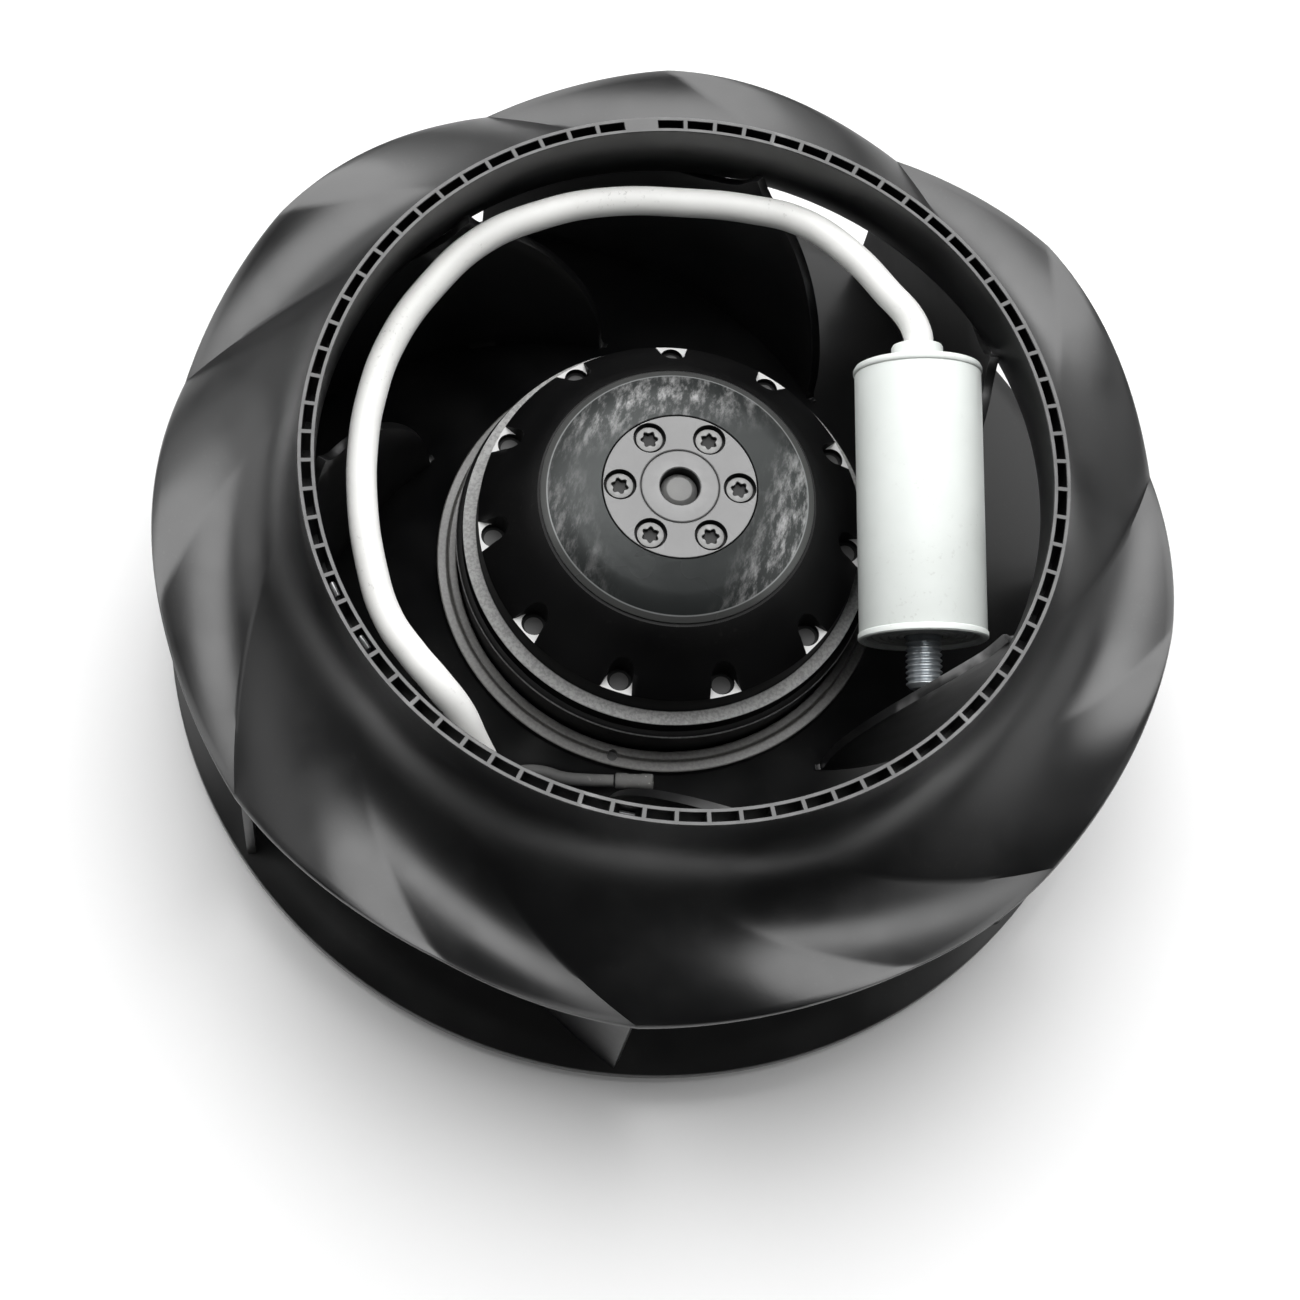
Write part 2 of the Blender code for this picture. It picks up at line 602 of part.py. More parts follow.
def make_hub_plate(material, parent):
    """Grey plate with the boss that the shaft is pressed into."""
    bore = SHAFT_RADIUS + FIT_GAP
    spigot_end = UPPER_BEARING_BOTTOM + BEARING_WIDTH + FIT_GAP
    boss_end = UPPER_BEARING_BOTTOM + BEARING_WIDTH + TUBE_PAST_BEARING + RUNNING_GAP
    outline = [(bore, spigot_end), (INNER_RACE_RADIUS, spigot_end), (INNER_RACE_RADIUS, boss_end),
               (HUB_BOSS_RADIUS, boss_end), (HUB_BOSS_RADIUS, HUB_PLATE_BOTTOM),
               (HUB_PLATE_RADIUS, HUB_PLATE_BOTTOM), (HUB_PLATE_RADIUS, HUB_PLATE_TOP), (bore, HUB_PLATE_TOP)]
    plate = finish("rotor_hub_plate", turned(outline, MEDIUM_FACETS), material, parent)
    combine(plate, make_cutter("plate_screw_cutter", screw_holes(TINY_FACETS)))
    return plate


def make_rotor_screws(material, parent):
    seat = HUB_PLATE_TOP - COUNTERBORE_DEPTH + FIT_GAP
    outline = [(0.0, seat - SCREW_LENGTH), (SCREW_SHANK_RADIUS, seat - SCREW_LENGTH),
               (SCREW_SHANK_RADIUS, seat), (SCREW_HEAD_RADIUS, seat),
               (SCREW_HEAD_RADIUS, seat + SCREW_HEAD_HEIGHT), (0.0, seat + SCREW_HEAD_HEIGHT)]
    for index in range(SCREW_COUNT):
        angle = SCREW_ANGLE + index * 2.0 * math.pi / SCREW_COUNT
        mesh_data = turned(outline, TINY_FACETS)
        mesh_data.transform(Matrix.Translation(at_angle(SCREW_CIRCLE, angle)))
        finish("rotor_screw_%d" % (index + 1), mesh_data, material, parent)


def make_label(material, parent):
    """Foil ring that lies on the dome, round the hub plate."""
    inner = HUB_PLATE_RADIUS + FIT_GAP
    outline = [(inner, label_top(inner) - LABEL_THICKNESS), (LABEL_RADIUS, LABEL_HEIGHT - LABEL_THICKNESS),
               (LABEL_RADIUS, LABEL_HEIGHT), (inner, label_top(inner))]
    return finish("rating_label", turned(outline, LARGE_FACETS), material, parent)


def make_rotor_inside(steel, core_metal, parent):
    """Shaft, its circlip and the rotor core."""
    top = HUB_PLATE_TOP - SHAFT_SINK
    shaft = [(0.0, SHAFT_BOTTOM), (SHAFT_RADIUS, SHAFT_BOTTOM), (SHAFT_RADIUS, top), (0.0, top)]
    finish("rotor_shaft", turned(shaft, SMALL_FACETS), steel, parent)
    core_radius = ROTOR_RADIUS - ROTOR_WALL - FIT_GAP
    core = tube_outline(STATOR_RADIUS + AIR_GAP, core_radius, CORE_TOP - CORE_LENGTH, CORE_TOP)
    finish("rotor_core", turned(core, MEDIUM_FACETS), core_metal, parent)
    inner = SHAFT_RADIUS + FIT_GAP
    top = LOWER_BEARING_BOTTOM - FIT_GAP
    mesh_data = bmesh.new()
    arc = 2.0 * math.pi - CIRCLIP_OPENING
    sections = []
    for index in range(TINY_FACETS + 1):
        angle = 0.5 * CIRCLIP_OPENING + arc * index / TINY_FACETS
        corners = tube_outline(inner, inner + CIRCLIP_WIDTH, top - CIRCLIP_THICKNESS, top)
        sections.append([mesh_data.verts.new(at_angle(radius, angle, height)) for radius, height in corners])
    for first, second in zip(sections, sections[1:]):
        for corner in range(4):
            beside = (corner + 1) % 4
            mesh_data.faces.new((first[corner], first[beside], second[beside], second[corner]))
    mesh_data.faces.new(sections[0])
    mesh_data.faces.new(sections[-1][::-1])
    finish("shaft_circlip", mesh_data, steel, parent)


def make_bearing(name, bottom, steel, rotor, cage_axis):
    """Ball bearing: outer ring in the tube, inner ring on the shaft, ball cage between them."""
    top = bottom + BEARING_WIDTH
    outer = tube_outline(OUTER_RACE_BORE, BEARING_RADIUS, bottom, top)
    finish(name + "_outer_ring", turned(outer, SMALL_FACETS), steel)
    inner = tube_outline(SHAFT_RADIUS + FIT_GAP, INNER_RACE_RADIUS, bottom, top)
    finish(name + "_inner_ring", turned(inner, SMALL_FACETS), steel, rotor)
    middle = bottom + 0.5 * BEARING_WIDTH
    ring = tube_outline(BALL_CIRCLE - CAGE_HALF_SECTION, BALL_CIRCLE + CAGE_HALF_SECTION,
                        middle - CAGE_HALF_SECTION, middle + CAGE_HALF_SECTION)
    cage = finish(name + "_ball_cage", turned(ring, 2 * BALL_COUNT), steel, cage_axis)
    balls = bmesh.new()
    for index in range(BALL_COUNT):
        centre = at_angle(BALL_CIRCLE, (index + 0.5) * 2.0 * math.pi / BALL_COUNT, middle)
        bmesh.ops.create_icosphere(balls, subdivisions=1, radius=BALL_RADIUS,
                                   matrix=Matrix.Translation(centre))
    combine(cage, make_cutter(name + "_balls", balls), "UNION")


def make_stator(cast, lamination, copper, rubber, steel, dark):
    """Flange with bearing tube, wound core, protector, grommet, preload spring and rear cap."""
    tube_top = UPPER_BEARING_BOTTOM + BEARING_WIDTH + TUBE_PAST_BEARING
    upper_seat = UPPER_BEARING_BOTTOM - FIT_GAP
    lower_seat = LOWER_BEARING_BOTTOM + BEARING_WIDTH + FIT_GAP
    waist = BORE_RADIUS - TUBE_SHOULDER
    outline = [(BORE_RADIUS, 0.0), (FLANGE_RADIUS, 0.0), (FLANGE_RADIUS, FLANGE_THICKNESS),
               (TUBE_RADIUS, FLANGE_THICKNESS), (TUBE_RADIUS, tube_top), (BORE_RADIUS, tube_top),
               (BORE_RADIUS, upper_seat), (waist, upper_seat), (waist, lower_seat), (BORE_RADIUS, lower_seat)]
    flange = finish("stator_flange", turned(outline, MEDIUM_FACETS), cast)
    holes = bmesh.new()
    for index in range(FIXING_COUNT):
        angle = index * 2.0 * math.pi / FIXING_COUNT
        section = [(0.0, -FLANGE_THICKNESS), (FIXING_RADIUS, -FLANGE_THICKNESS),
                   (FIXING_RADIUS, 2.0 * FLANGE_THICKNESS), (0.0, 2.0 * FLANGE_THICKNESS)]
        add_round_tool(holes, section, TINY_FACETS, at_angle(FIXING_CIRCLE, angle))
    neck = GROMMET_BORE + GROMMET_WALL
    section = [(0.0, -FLANGE_THICKNESS), (neck + FIT_GAP, -FLANGE_THICKNESS),
               (neck + FIT_GAP, 2.0 * FLANGE_THICKNESS), (0.0, 2.0 * FLANGE_THICKNESS)]
    grommet_place = at_angle(GROMMET_CIRCLE, GROMMET_ANGLE)
    add_round_tool(holes, section, SMALL_FACETS, grommet_place)
    combine(flange, make_cutter("flange_hole_cutter", holes))
    grommet = turned([(GROMMET_BORE, FIT_GAP), (neck, FIT_GAP), (neck, FLANGE_THICKNESS + FIT_GAP),
                      (neck + GROMMET_LIP, FLANGE_THICKNESS + FIT_GAP),
                      (neck + GROMMET_LIP, FLANGE_THICKNESS + GROMMET_LIP),
                      (GROMMET_BORE, FLANGE_THICKNESS + GROMMET_LIP)], SMALL_FACETS)
    grommet.transform(Matrix.Translation(grommet_place))
    finish("supply_cable_grommet", grommet, rubber)

    core = tube_outline(TUBE_RADIUS + FIT_GAP, STATOR_RADIUS, STATOR_BOTTOM, CORE_TOP)
    finish("stator_core", turned(core, MEDIUM_FACETS), lamination)
    upper_end = CORE_TOP + UPPER_HEAD_HEIGHT
    upper_head = tube_outline(WINDING_INNER, WINDING_OUTER, CORE_TOP + FIT_GAP, upper_end)
    finish("winding_head_upper", turned(upper_head, MEDIUM_FACETS), copper)
    lower_end = STATOR_BOTTOM - LOWER_HEAD_HEIGHT
    lower_head = tube_outline(WINDING_INNER, WINDING_OUTER, lower_end, STATOR_BOTTOM - FIT_GAP)
    finish("winding_head_lower", turned(lower_head, MEDIUM_FACETS), copper)
    length, depth, height = PROTECTOR_SIZE
    place = Vector((0.0, WINDING_INNER + 0.5 * depth, upper_end + FIT_GAP + 0.5 * height))
    protector = bmesh.new()
    bmesh.ops.create_cube(protector, size=1.0,
                          matrix=Matrix.Translation(place) @ Matrix.Diagonal((length, depth, height, 1.0)))
    finish("thermal_protector", protector, dark)

    spring_top = LOWER_BEARING_BOTTOM - FIT_GAP
    spring_bottom = spring_top - SPRING_THICKNESS
    spring = tube_outline(BEARING_RADIUS - SPRING_WIDTH, BEARING_RADIUS, spring_bottom, spring_top)
    finish("preload_wave_spring", turned(spring, SMALL_FACETS), steel)
    cap_top = spring_bottom - FIT_GAP
    cap_floor = REAR_CAP_BOTTOM + REAR_CAP_WALL
    cap_bore = BEARING_RADIUS - REAR_CAP_WALL
    cap = [(0.0, REAR_CAP_BOTTOM), (BEARING_RADIUS, REAR_CAP_BOTTOM), (BEARING_RADIUS, cap_top),
           (cap_bore, cap_top), (cap_bore, cap_floor), (0.0, cap_floor)]
    finish("rear_cap", turned(cap, SMALL_FACETS), cast)


def seat_distance(base, direction):
    """Least distance from the can's axis to the rotor and, beside the can, to the leading edges."""
    outline = [Vector(point) for point in rotor_outline()]
    steps = 40
    nearest = math.inf
    for index in range(steps + 1):
        place = base + direction * (CAN_LENGTH * index / steps)
        section = Vector((math.hypot(place.x, place.y), place.z))
        for first, second in zip(outline, outline[1:]):
            span = second - first
            share = min(1.0, max(0.0, (section - first).dot(span) / span.length_squared))
            nearest = min(nearest, (section - first - span * share).length)
    foot_radius, throat_radius = leading_span()[0][0], leading_span()[1][0]
    for blade in range(BLADE_COUNT):
        for index in range(steps + 1):
            radius = foot_radius + (throat_radius - foot_radius) * index / steps
            edge = at_angle(radius, blade_angle(radius) + blade * LOBE, leading_height(radius))
            along = (edge - base).dot(direction)
            if 0.0 <= along <= CAN_LENGTH:
                nearest = min(nearest, (edge - base - direction * along).length - 0.5 * BLADE_THICKNESS)
    return nearest


def seat_capacitor():
    """Frame of the can, base at the origin and lid up Z, raised until it clears rotor and blades."""
    direction = CAN_DIRECTION.normalized()
    base = at_angle(CAN_BASE_RADIUS, CAN_BASE_ANGLE, CAN_BASE_HEIGHT)
    while seat_distance(base, direction) < CAN_RADIUS + SEAT_GAP:
        base.z += 0.1 * MM
    turn = direction.to_track_quat("Z", "Y").to_matrix().to_4x4()
    return Matrix.Translation(base) @ turn


def make_capacitor(plastic, resin, film, zinc, parent):
    """Can with its lid, base plate, stud, film roll and cable collar, about the parent's Z."""
    body = CAN_RADIUS - CAN_BEAD
    bore = body - CAN_WALL
    can = [(bore, 0.0), (CAN_RADIUS, 0.0), (CAN_RADIUS, CAN_WALL), (body, CAN_WALL + CAN_BEAD),
           (body, CAN_LENGTH - CAN_WALL - CAN_BEAD), (CAN_RADIUS, CAN_LENGTH - CAN_WALL),
           (CAN_RADIUS - CAN_BEAD, CAN_LENGTH), (0.0, CAN_LENGTH), (0.0, CAN_LENGTH - CAN_LID),
           (bore, CAN_LENGTH - CAN_LID)]
    finish("capacitor_can", turned(can, MEDIUM_FACETS), plastic, parent)
    plate_top = BASE_PLATE_SINK + BASE_PLATE_THICKNESS
    plate = tube_outline(STUD_RADIUS + FIT_GAP, bore - FIT_GAP, BASE_PLATE_SINK, plate_top)
    finish("capacitor_base", turned(plate, MEDIUM_FACETS), resin, parent)
    head = plate_top + FIT_GAP
    stud = [(0.0, -STUD_LENGTH), (STUD_RADIUS, -STUD_LENGTH), (STUD_RADIUS, head), (STUD_HEAD_RADIUS, head),
            (STUD_HEAD_RADIUS, head + STUD_HEAD_HEIGHT), (0.0, head + STUD_HEAD_HEIGHT)]
    finish("capacitor_stud", turned(stud, SMALL_FACETS), zinc, parent)
    roll_bottom = head + STUD_HEAD_HEIGHT + FIT_GAP
    roll_top = CAN_LENGTH - CAN_LID - FIT_GAP
    roll = [(0.0, roll_bottom), (bore - FIT_GAP, roll_bottom), (bore - FIT_GAP, roll_top), (0.0, roll_top)]
    finish("capacitor_film_roll", turned(roll, SMALL_FACETS), film, parent)
    collar = tube_outline(CABLE_RADIUS + CABLE_CLEARANCE, COLLAR_RING_RADIUS, CAN_LENGTH + FIT_GAP,
                          CAN_LENGTH + FIT_GAP + COLLAR_RING_HEIGHT)
    finish("capacitor_cable_collar", turned(collar, SMALL_FACETS), plastic, parent)


def smooth_points(route, step):
    """Points at even steps along a smooth curve through a route."""
    padded = [2 * route[0] - route[1]] + list(route) + [2 * route[-1] - route[-2]]
    fine = []
    for a, b, c, d in zip(padded, padded[1:], padded[2:], padded[3:]):
        for index in range(20):
            t = index / 20
            fine.append(0.5 * (2 * b + (c - a) * t + (2 * a - 5 * b + 4 * c - d) * t ** 2
                               + (3 * b - a - 3 * c + d) * t ** 3))
    fine.append(route[-1])
    lengths = [0.0]
    for first, second in zip(fine, fine[1:]):
        lengths.append(lengths[-1] + (second - first).length)
    count = max(3, round(lengths[-1] / step))
    points = []
    for index in range(count + 1):
        target = lengths[-1] * index / count
        after = next(k for k, length in enumerate(lengths) if length >= target - 1e-9)
        before = max(0, after - 1)
        span = lengths[after] - lengths[before]
        share = (target - lengths[before]) / span if span > 0.0 else 0.0
        points.append(fine[before].lerp(fine[after], share))
    return points


def make_tube(name, points, radius, resolution, material):
    curve = bpy.data.curves.new(name, "CURVE")
    curve.dimensions = "3D"
    curve.bevel_depth = radius
    curve.bevel_resolution = resolution
    curve.use_fill_caps = True
    curve.render_resolution_u = 0
    spline = curve.splines.new("POLY")
    spline.points.add(len(points) - 1)
    for slot, place in zip(spline.points, points):
        slot.co = (*place, 1.0)
    curve.materials.append(material)
    tube = bpy.data.objects.new(name, curve)
    bpy.context.collection.objects.link(tube)
    return tube


def make_cable(jacket, black, can_frame):
    """White cable from the can's collar, its two leads and their end sleeves."""
    entry = [can_frame @ Vector((0.0, 0.0, CAN_LENGTH + FIT_GAP)),
             can_frame @ Vector((0.0, 0.0, CAN_LENGTH + FIT_GAP + COLLAR_RING_HEIGHT + CABLE_RADIUS))]
    route = entry + [Vector(point) * MM for point in CABLE_ROUTE]
    points = smooth_points(route, CABLE_STEP)
    make_tube("capacitor_cable", points, CABLE_RADIUS, 3, jacket)
    length = sum((second - first).length for first, second in zip(points, points[1:]))
    print("cable length %.1f mm" % (length / MM))
    for index, places in enumerate(LEAD_ROUTES):
        lead = [Vector(point) * MM for point in places]
        bends = smooth_points(lead, 2.5 * LEAD_RADIUS)
        make_tube("capacitor_lead_%d" % (index + 1), bends, LEAD_RADIUS, 2, black)
        run = (lead[-1] - lead[-2]).normalized()
        start = lead[-1] + run * FIT_GAP
        frame = Matrix.Translation(start) @ run.to_track_quat("Z", "Y").to_matrix().to_4x4()
        outline = [(0.0, 0.0), (SLEEVE_RADIUS, 0.0), (SLEEVE_RADIUS, SLEEVE_LENGTH), (0.0, SLEEVE_LENGTH)]
        sleeve = turned(outline, TINY_FACETS)
        sleeve.transform(frame)
        finish("lead_sleeve_%d" % (index + 1), sleeve, black)


def main():
    clear_scene()
    black_plastic = make_material("black_plastic", (0.022, 0.023, 0.025), 0.42)
    clip_steel = make_material("clip_steel", (0.55, 0.56, 0.57), 0.35, 1.0)
    black_paint = make_material("black_paint", (0.012, 0.012, 0.013), 0.45)
    grey_metal = make_material("grey_metal", (0.21, 0.21, 0.21), 0.5, 0.7)
    screw_steel = make_material("screw_steel", (0.25, 0.25, 0.25), 0.45, 1.0)
    label_foil = make_material("label_foil", (0.05, 0.055, 0.055), 0.2, 0.5)
    bright_steel = make_material("bright_steel", (0.6, 0.6, 0.6), 0.3, 1.0)
    lamination = make_material("lamination", (0.2, 0.2, 0.21), 0.55, 1.0)
    cast_metal = make_material("cast_metal", (0.45, 0.45, 0.46), 0.5, 1.0)
    copper = make_material("copper_winding", (0.5, 0.2, 0.08), 0.45, 0.8)
    rubber = make_material("black_rubber", (0.02, 0.02, 0.02), 0.8)
    white_plastic = make_material("white_plastic", (0.8, 0.82, 0.8), 0.5)
    dark_resin = make_material("dark_resin", (0.05, 0.05, 0.05), 0.6)
    film = make_material("film", (0.7, 0.68, 0.6), 0.4)
    zinc = make_material("zinc", (0.6, 0.62, 0.63), 0.3, 1.0)
    white_jacket = make_material("white_jacket", (0.75, 0.75, 0.72), 0.55)

    rotor = make_empty("rotor_axis")
    upper_cage = make_empty("upper_cage_axis")
    lower_cage = make_empty("lower_cage_axis")
    make_shroud(black_plastic, rotor)
    make_disc(black_plastic, rotor)
    for index in range(BLADE_COUNT):
        make_blade(index, black_plastic, rotor)
    for index in range(len(CLIP_PLACES)):
        make_clip(index, clip_steel, rotor)
    make_rotor_cup(black_paint, rotor)
    make_hub_plate(grey_metal, rotor)
    make_rotor_screws(screw_steel, rotor)
    make_label(label_foil, rotor)
    make_rotor_inside(bright_steel, lamination, rotor)
    make_bearing("upper_bearing", UPPER_BEARING_BOTTOM, bright_steel, rotor, upper_cage)
    make_bearing("lower_bearing", LOWER_BEARING_BOTTOM, bright_steel, rotor, lower_cage)
    make_stator(cast_metal, lamination, copper, rubber, bright_steel, dark_resin)
    can_frame = seat_capacitor()
    make_capacitor(white_plastic, dark_resin, film, zinc, make_empty("capacitor_frame", can_frame))
    make_cable(white_jacket, rubber, can_frame)


main()
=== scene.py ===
# %% [markdown]
# # A centrifugal fan, dressed over its solid model
# The solid model holds every piece of the fan in its place, with plain surfaces. This lesson puts
# finer pieces and real finishes over it. Loading the model first gives one frame for everything, so
# each new piece is drawn where the old one stands and nothing has to be fitted by eye. Sizes are
# written in millimetres all through, and MM turns them into Blender's metres.

# %% Load the solid model
import math

import bmesh
import bpy
from mathutils import Matrix, Vector


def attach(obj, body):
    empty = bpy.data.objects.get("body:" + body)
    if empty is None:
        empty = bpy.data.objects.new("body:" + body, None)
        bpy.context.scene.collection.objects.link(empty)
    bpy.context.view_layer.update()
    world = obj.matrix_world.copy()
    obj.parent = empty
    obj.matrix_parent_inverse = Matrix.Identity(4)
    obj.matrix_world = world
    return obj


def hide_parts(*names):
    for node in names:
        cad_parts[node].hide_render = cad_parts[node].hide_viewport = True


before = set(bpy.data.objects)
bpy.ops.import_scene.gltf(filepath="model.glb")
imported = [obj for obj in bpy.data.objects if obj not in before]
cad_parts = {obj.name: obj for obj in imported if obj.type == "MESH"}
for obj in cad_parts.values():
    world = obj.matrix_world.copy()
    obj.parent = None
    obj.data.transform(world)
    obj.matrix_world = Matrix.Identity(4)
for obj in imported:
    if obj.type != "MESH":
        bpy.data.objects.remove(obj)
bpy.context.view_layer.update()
MM = 0.001

# %% [markdown]
# The picture was taken from above, with the fan's inlet towards the lens. A camera can be placed by
# hand until the view looks right, but here its place was worked out from the round edges of the fan,
# so it is written down as a point and two directions. The third direction follows from these two.

# %% Place the camera
CAMERA_PLACE = Vector((3.36, -247.57, 603.0))
TO_RIGHT = Vector((0.9618, 0.2540, 0.1017))
TO_TOP = Vector((-0.2736, 0.8929, 0.3575))


def add_object(name, data):
    """Put an object with some data into the scene."""
    item = bpy.data.objects.new(name, data)
    bpy.context.collection.objects.link(item)
    return item


lens = bpy.data.cameras.new("front_camera")
lens.sensor_width = 36.0
lens.lens = 74.8
camera = add_object("front_camera", lens)
bpy.context.scene.camera = camera
turn = Matrix((TO_RIGHT, TO_TOP, TO_RIGHT.cross(TO_TOP))).transposed().to_4x4()
camera.matrix_world = Matrix.Translation(CAMERA_PLACE * MM) @ turn
print("camera stands %.2f m from the hub" % camera.matrix_world.translation.length)

# %% [markdown]
# A run capacitor lies loose in the inlet, and its white cable springs round inside the collar. A
# cable could be a swept mesh, but a Bezier curve with a round bevel stays smooth with few points and
# can be measured. The bevel is one metre and each point's own radius brings it down to the cord's,
# because Blender adds these radii to the curve's bounding box. The points are those of the solid
# model's route. The jacket is stripped at the far end, where two thin leads come out, each with a
# crimped sleeve.

# %% Lay the cable and its two leads
CAN_LENGTH = 60.8
CAN_FRAME = (Matrix.Translation(Vector((59.43, -14.6, 69.8)) * MM)
             @ Vector((-0.274, 0.941, 0.197)).to_track_quat("Z", "Y").to_matrix().to_4x4())
CABLE_RADIUS = 3.25
LEAD_RADIUS = 1.4
CABLE_START_HEIGHTS = (CAN_LENGTH + 0.3, CAN_LENGTH + 8.05)
CABLE_ROUTE = (
    (31.1, 58.0, 84.0), (21.9, 64.4, 83.6), (9.7, 69.5, 82.4), (-2.7, 69.9, 80.8), (-14.8, 67.8, 80.2),
    (-33.9, 61.0, 81.4), (-45.7, 53.4, 82.2), (-56.6, 43.6, 81.5), (-64.0, 30.1, 80.4),
    (-68.4, 14.6, 80.0), (-68.7, -0.7, 80.2), (-66.9, -12.2, 79.8), (-63.7, -23.0, 79.4),
    (-58.0, -35.9, 79.6), (-50.8, -47.3, 80.4), (-43.3, -54.0, 81.2), (-37.0, -58.2, 80.7),
    (-31.4, -61.3, 76.8), (-26.9, -64.4, 69.4), (-23.4, -65.7, 60.0), (-20.8, -65.4, 46.0),
)
LEAD_ROUTES = (
    ((-21.17, -63.83, 45.4), (-20.3, -61.8, 41.5), (-18.3, -58.9, 38.6), (-15.4, -56.6, 37.0),
     (-12.0, -55.7, 36.6), (-7.5, -55.9, 37.1), (-2.0, -55.1, 37.9), (3.6, -53.9, 38.7)),
    ((-20.05, -66.83, 45.4), (-19.4, -67.0, 41.0), (-18.0, -66.8, 36.6), (-14.8, -67.2, 33.0),
     (-10.0, -68.2, 30.8), (-4.4, -69.0, 29.6), (2.4, -69.4, 29.0)),
)


def in_metres(places):
    return [Vector(place) * MM for place in places]


def lay_cord(name, places, radius):
    """A round cord through some places."""
    curve = bpy.data.curves.new(name, "CURVE")
    curve.dimensions = "3D"
    curve.bevel_depth = 1.0
    curve.bevel_resolution = 7
    curve.resolution_u = 8
    curve.use_fill_caps = True
    spline = curve.splines.new("BEZIER")
    spline.bezier_points.add(len(places) - 1)
    for point, place in zip(spline.bezier_points, places):
        point.co = place
        point.radius = radius * MM
        point.handle_left_type = "AUTO"
        point.handle_right_type = "AUTO"
    cord = add_object(name, curve)
    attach(cord, "capacitor")
    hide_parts(name)
    print(name, "is %.1f mm long" % (spline.calc_length() / MM))
    return cord


cable_places = [CAN_FRAME @ Vector((0, 0, height * MM)) for height in CABLE_START_HEIGHTS]
cable_places += in_metres(CABLE_ROUTE)
cable = lay_cord("capacitor_cable", cable_places, CABLE_RADIUS)
leads = []
for number, route in enumerate(LEAD_ROUTES, 1):
    leads.append(lay_cord("capacitor_lead_%d" % number, in_metres(route), LEAD_RADIUS))

# %% [markdown]
# The fan stands on a pale floor. More light would turn the floor white but would wash out the fan, so
# the floor gets a little glow of its own, which only the camera, mirrors and glass see. That way the
# fan keeps its shadow and gets no extra light from below.

# %% The floor
FLOOR_HALF, FLOOR_DROP, FLOOR_GLOW = 6.0, 0.1, 0.08


def to_mesh(name, shape):
    """Turn a bmesh into a mesh and let go of the bmesh."""
    mesh = bpy.data.meshes.new(name)
    shape.to_mesh(mesh)
    shape.free()
    return mesh


def add_node(tree, kind, sockets, **settings):
    """Add a shader node, set it up, fill or link its inputs, and return its outputs."""
    node = tree.nodes.new(kind)
    for key, value in settings.items():
        setattr(node, key, value)
    for key, value in sockets.items():
        if isinstance(value, bpy.types.NodeSocket):
            tree.links.new(value, node.inputs[key])
        else:
            node.inputs[key].default_value = value
    return node.outputs


def calculate(tree, operation, *values):
    return add_node(tree, "ShaderNodeMath", dict(enumerate(values)), operation=operation)["Value"]


def seen_directly(tree):
    """One for rays from the camera, from mirrors and through glass, and nothing for the light itself."""
    path = add_node(tree, "ShaderNodeLightPath", {})
    shiny = calculate(tree, "MAXIMUM", path["Is Glossy Ray"], path["Is Transmission Ray"])
    return calculate(tree, "MAXIMUM", path["Is Camera Ray"], shiny)


floor_shape = bmesh.new()
bmesh.ops.create_grid(floor_shape, x_segments=4, y_segments=4, size=FLOOR_HALF)
floor_mesh = to_mesh("floor", floor_shape)
floor = add_object("floor", floor_mesh)
floor.location.z = -FLOOR_DROP * MM
paper = bpy.data.materials.new("pale_floor")
paper.use_nodes = True
tree = paper.node_tree
surface = tree.nodes["Principled BSDF"].inputs
surface["Base Color"].default_value = (0.84, 0.84, 0.84, 1.0)
surface["Roughness"].default_value = 0.9
surface["Emission Color"].default_value = (1.0, 1.0, 1.0, 1.0)
tree.links.new(calculate(tree, "MULTIPLY", seen_directly(tree), FLOOR_GLOW), surface["Emission Strength"])
floor_mesh.materials.append(paper)
print("floor is %.0f m wide" % (2.0 * FLOOR_HALF))

# %% [markdown]
# The light is soft. What black plastic shows is mostly what it mirrors, so the lamps were placed where
# the sheen on the lobes says the light came from: a ceiling light behind the fan, a row of windows
# below it and a weak window on each side. The dim world keeps the deep parts dark.

# %% Lamps and world
LAMP_DISTANCE = 1.4


def add_softbox(name, azimuth, elevation, width, height, power):
    """An oval lamp in some direction from the fan, in degrees, that faces the fan."""
    lamp = bpy.data.lights.new(name, "AREA")
    lamp.shape = "ELLIPSE"
    lamp.size, lamp.size_y = width, height
    lamp.energy = power
    box = add_object(name, lamp)
    round_z, up = math.radians(azimuth), math.radians(elevation)
    way = Vector((math.cos(round_z) * math.cos(up), math.sin(round_z) * math.cos(up), math.sin(up)))
    box.location = LAMP_DISTANCE * way
    box.rotation_euler = (-way).to_track_quat("-Z", "Y").to_euler()


add_softbox("ceiling_light", azimuth=105.0, elevation=69.0, width=1.7, height=1.7, power=31.0)
add_softbox("back_windows", azimuth=95.0, elevation=33.0, width=3.2, height=0.9, power=8.0)
add_softbox("left_window", azimuth=172.0, elevation=30.0, width=1.0, height=1.0, power=4.0)
add_softbox("right_window", azimuth=12.0, elevation=28.0, width=1.2, height=1.0, power=3.4)
world = bpy.data.worlds.new("dim_room")
bpy.context.scene.world = world
world.use_nodes = True
world.node_tree.nodes["Background"].inputs["Color"].default_value = (0.05, 0.05, 0.05, 1.0)
bpy.context.scene.view_settings.view_transform = "Standard"

# %% [markdown]
# A material is a tree of nodes, and long lists of nodes and links are hard to read. A few short
# helpers say the same in words: noise at a place, a soft step, a product and a mix of two colours.

# %% Helpers for shader nodes
SOCKET_KINDS = {"value": "NodeSocketFloat", "colour": "NodeSocketColor", "place": "NodeSocketVector"}


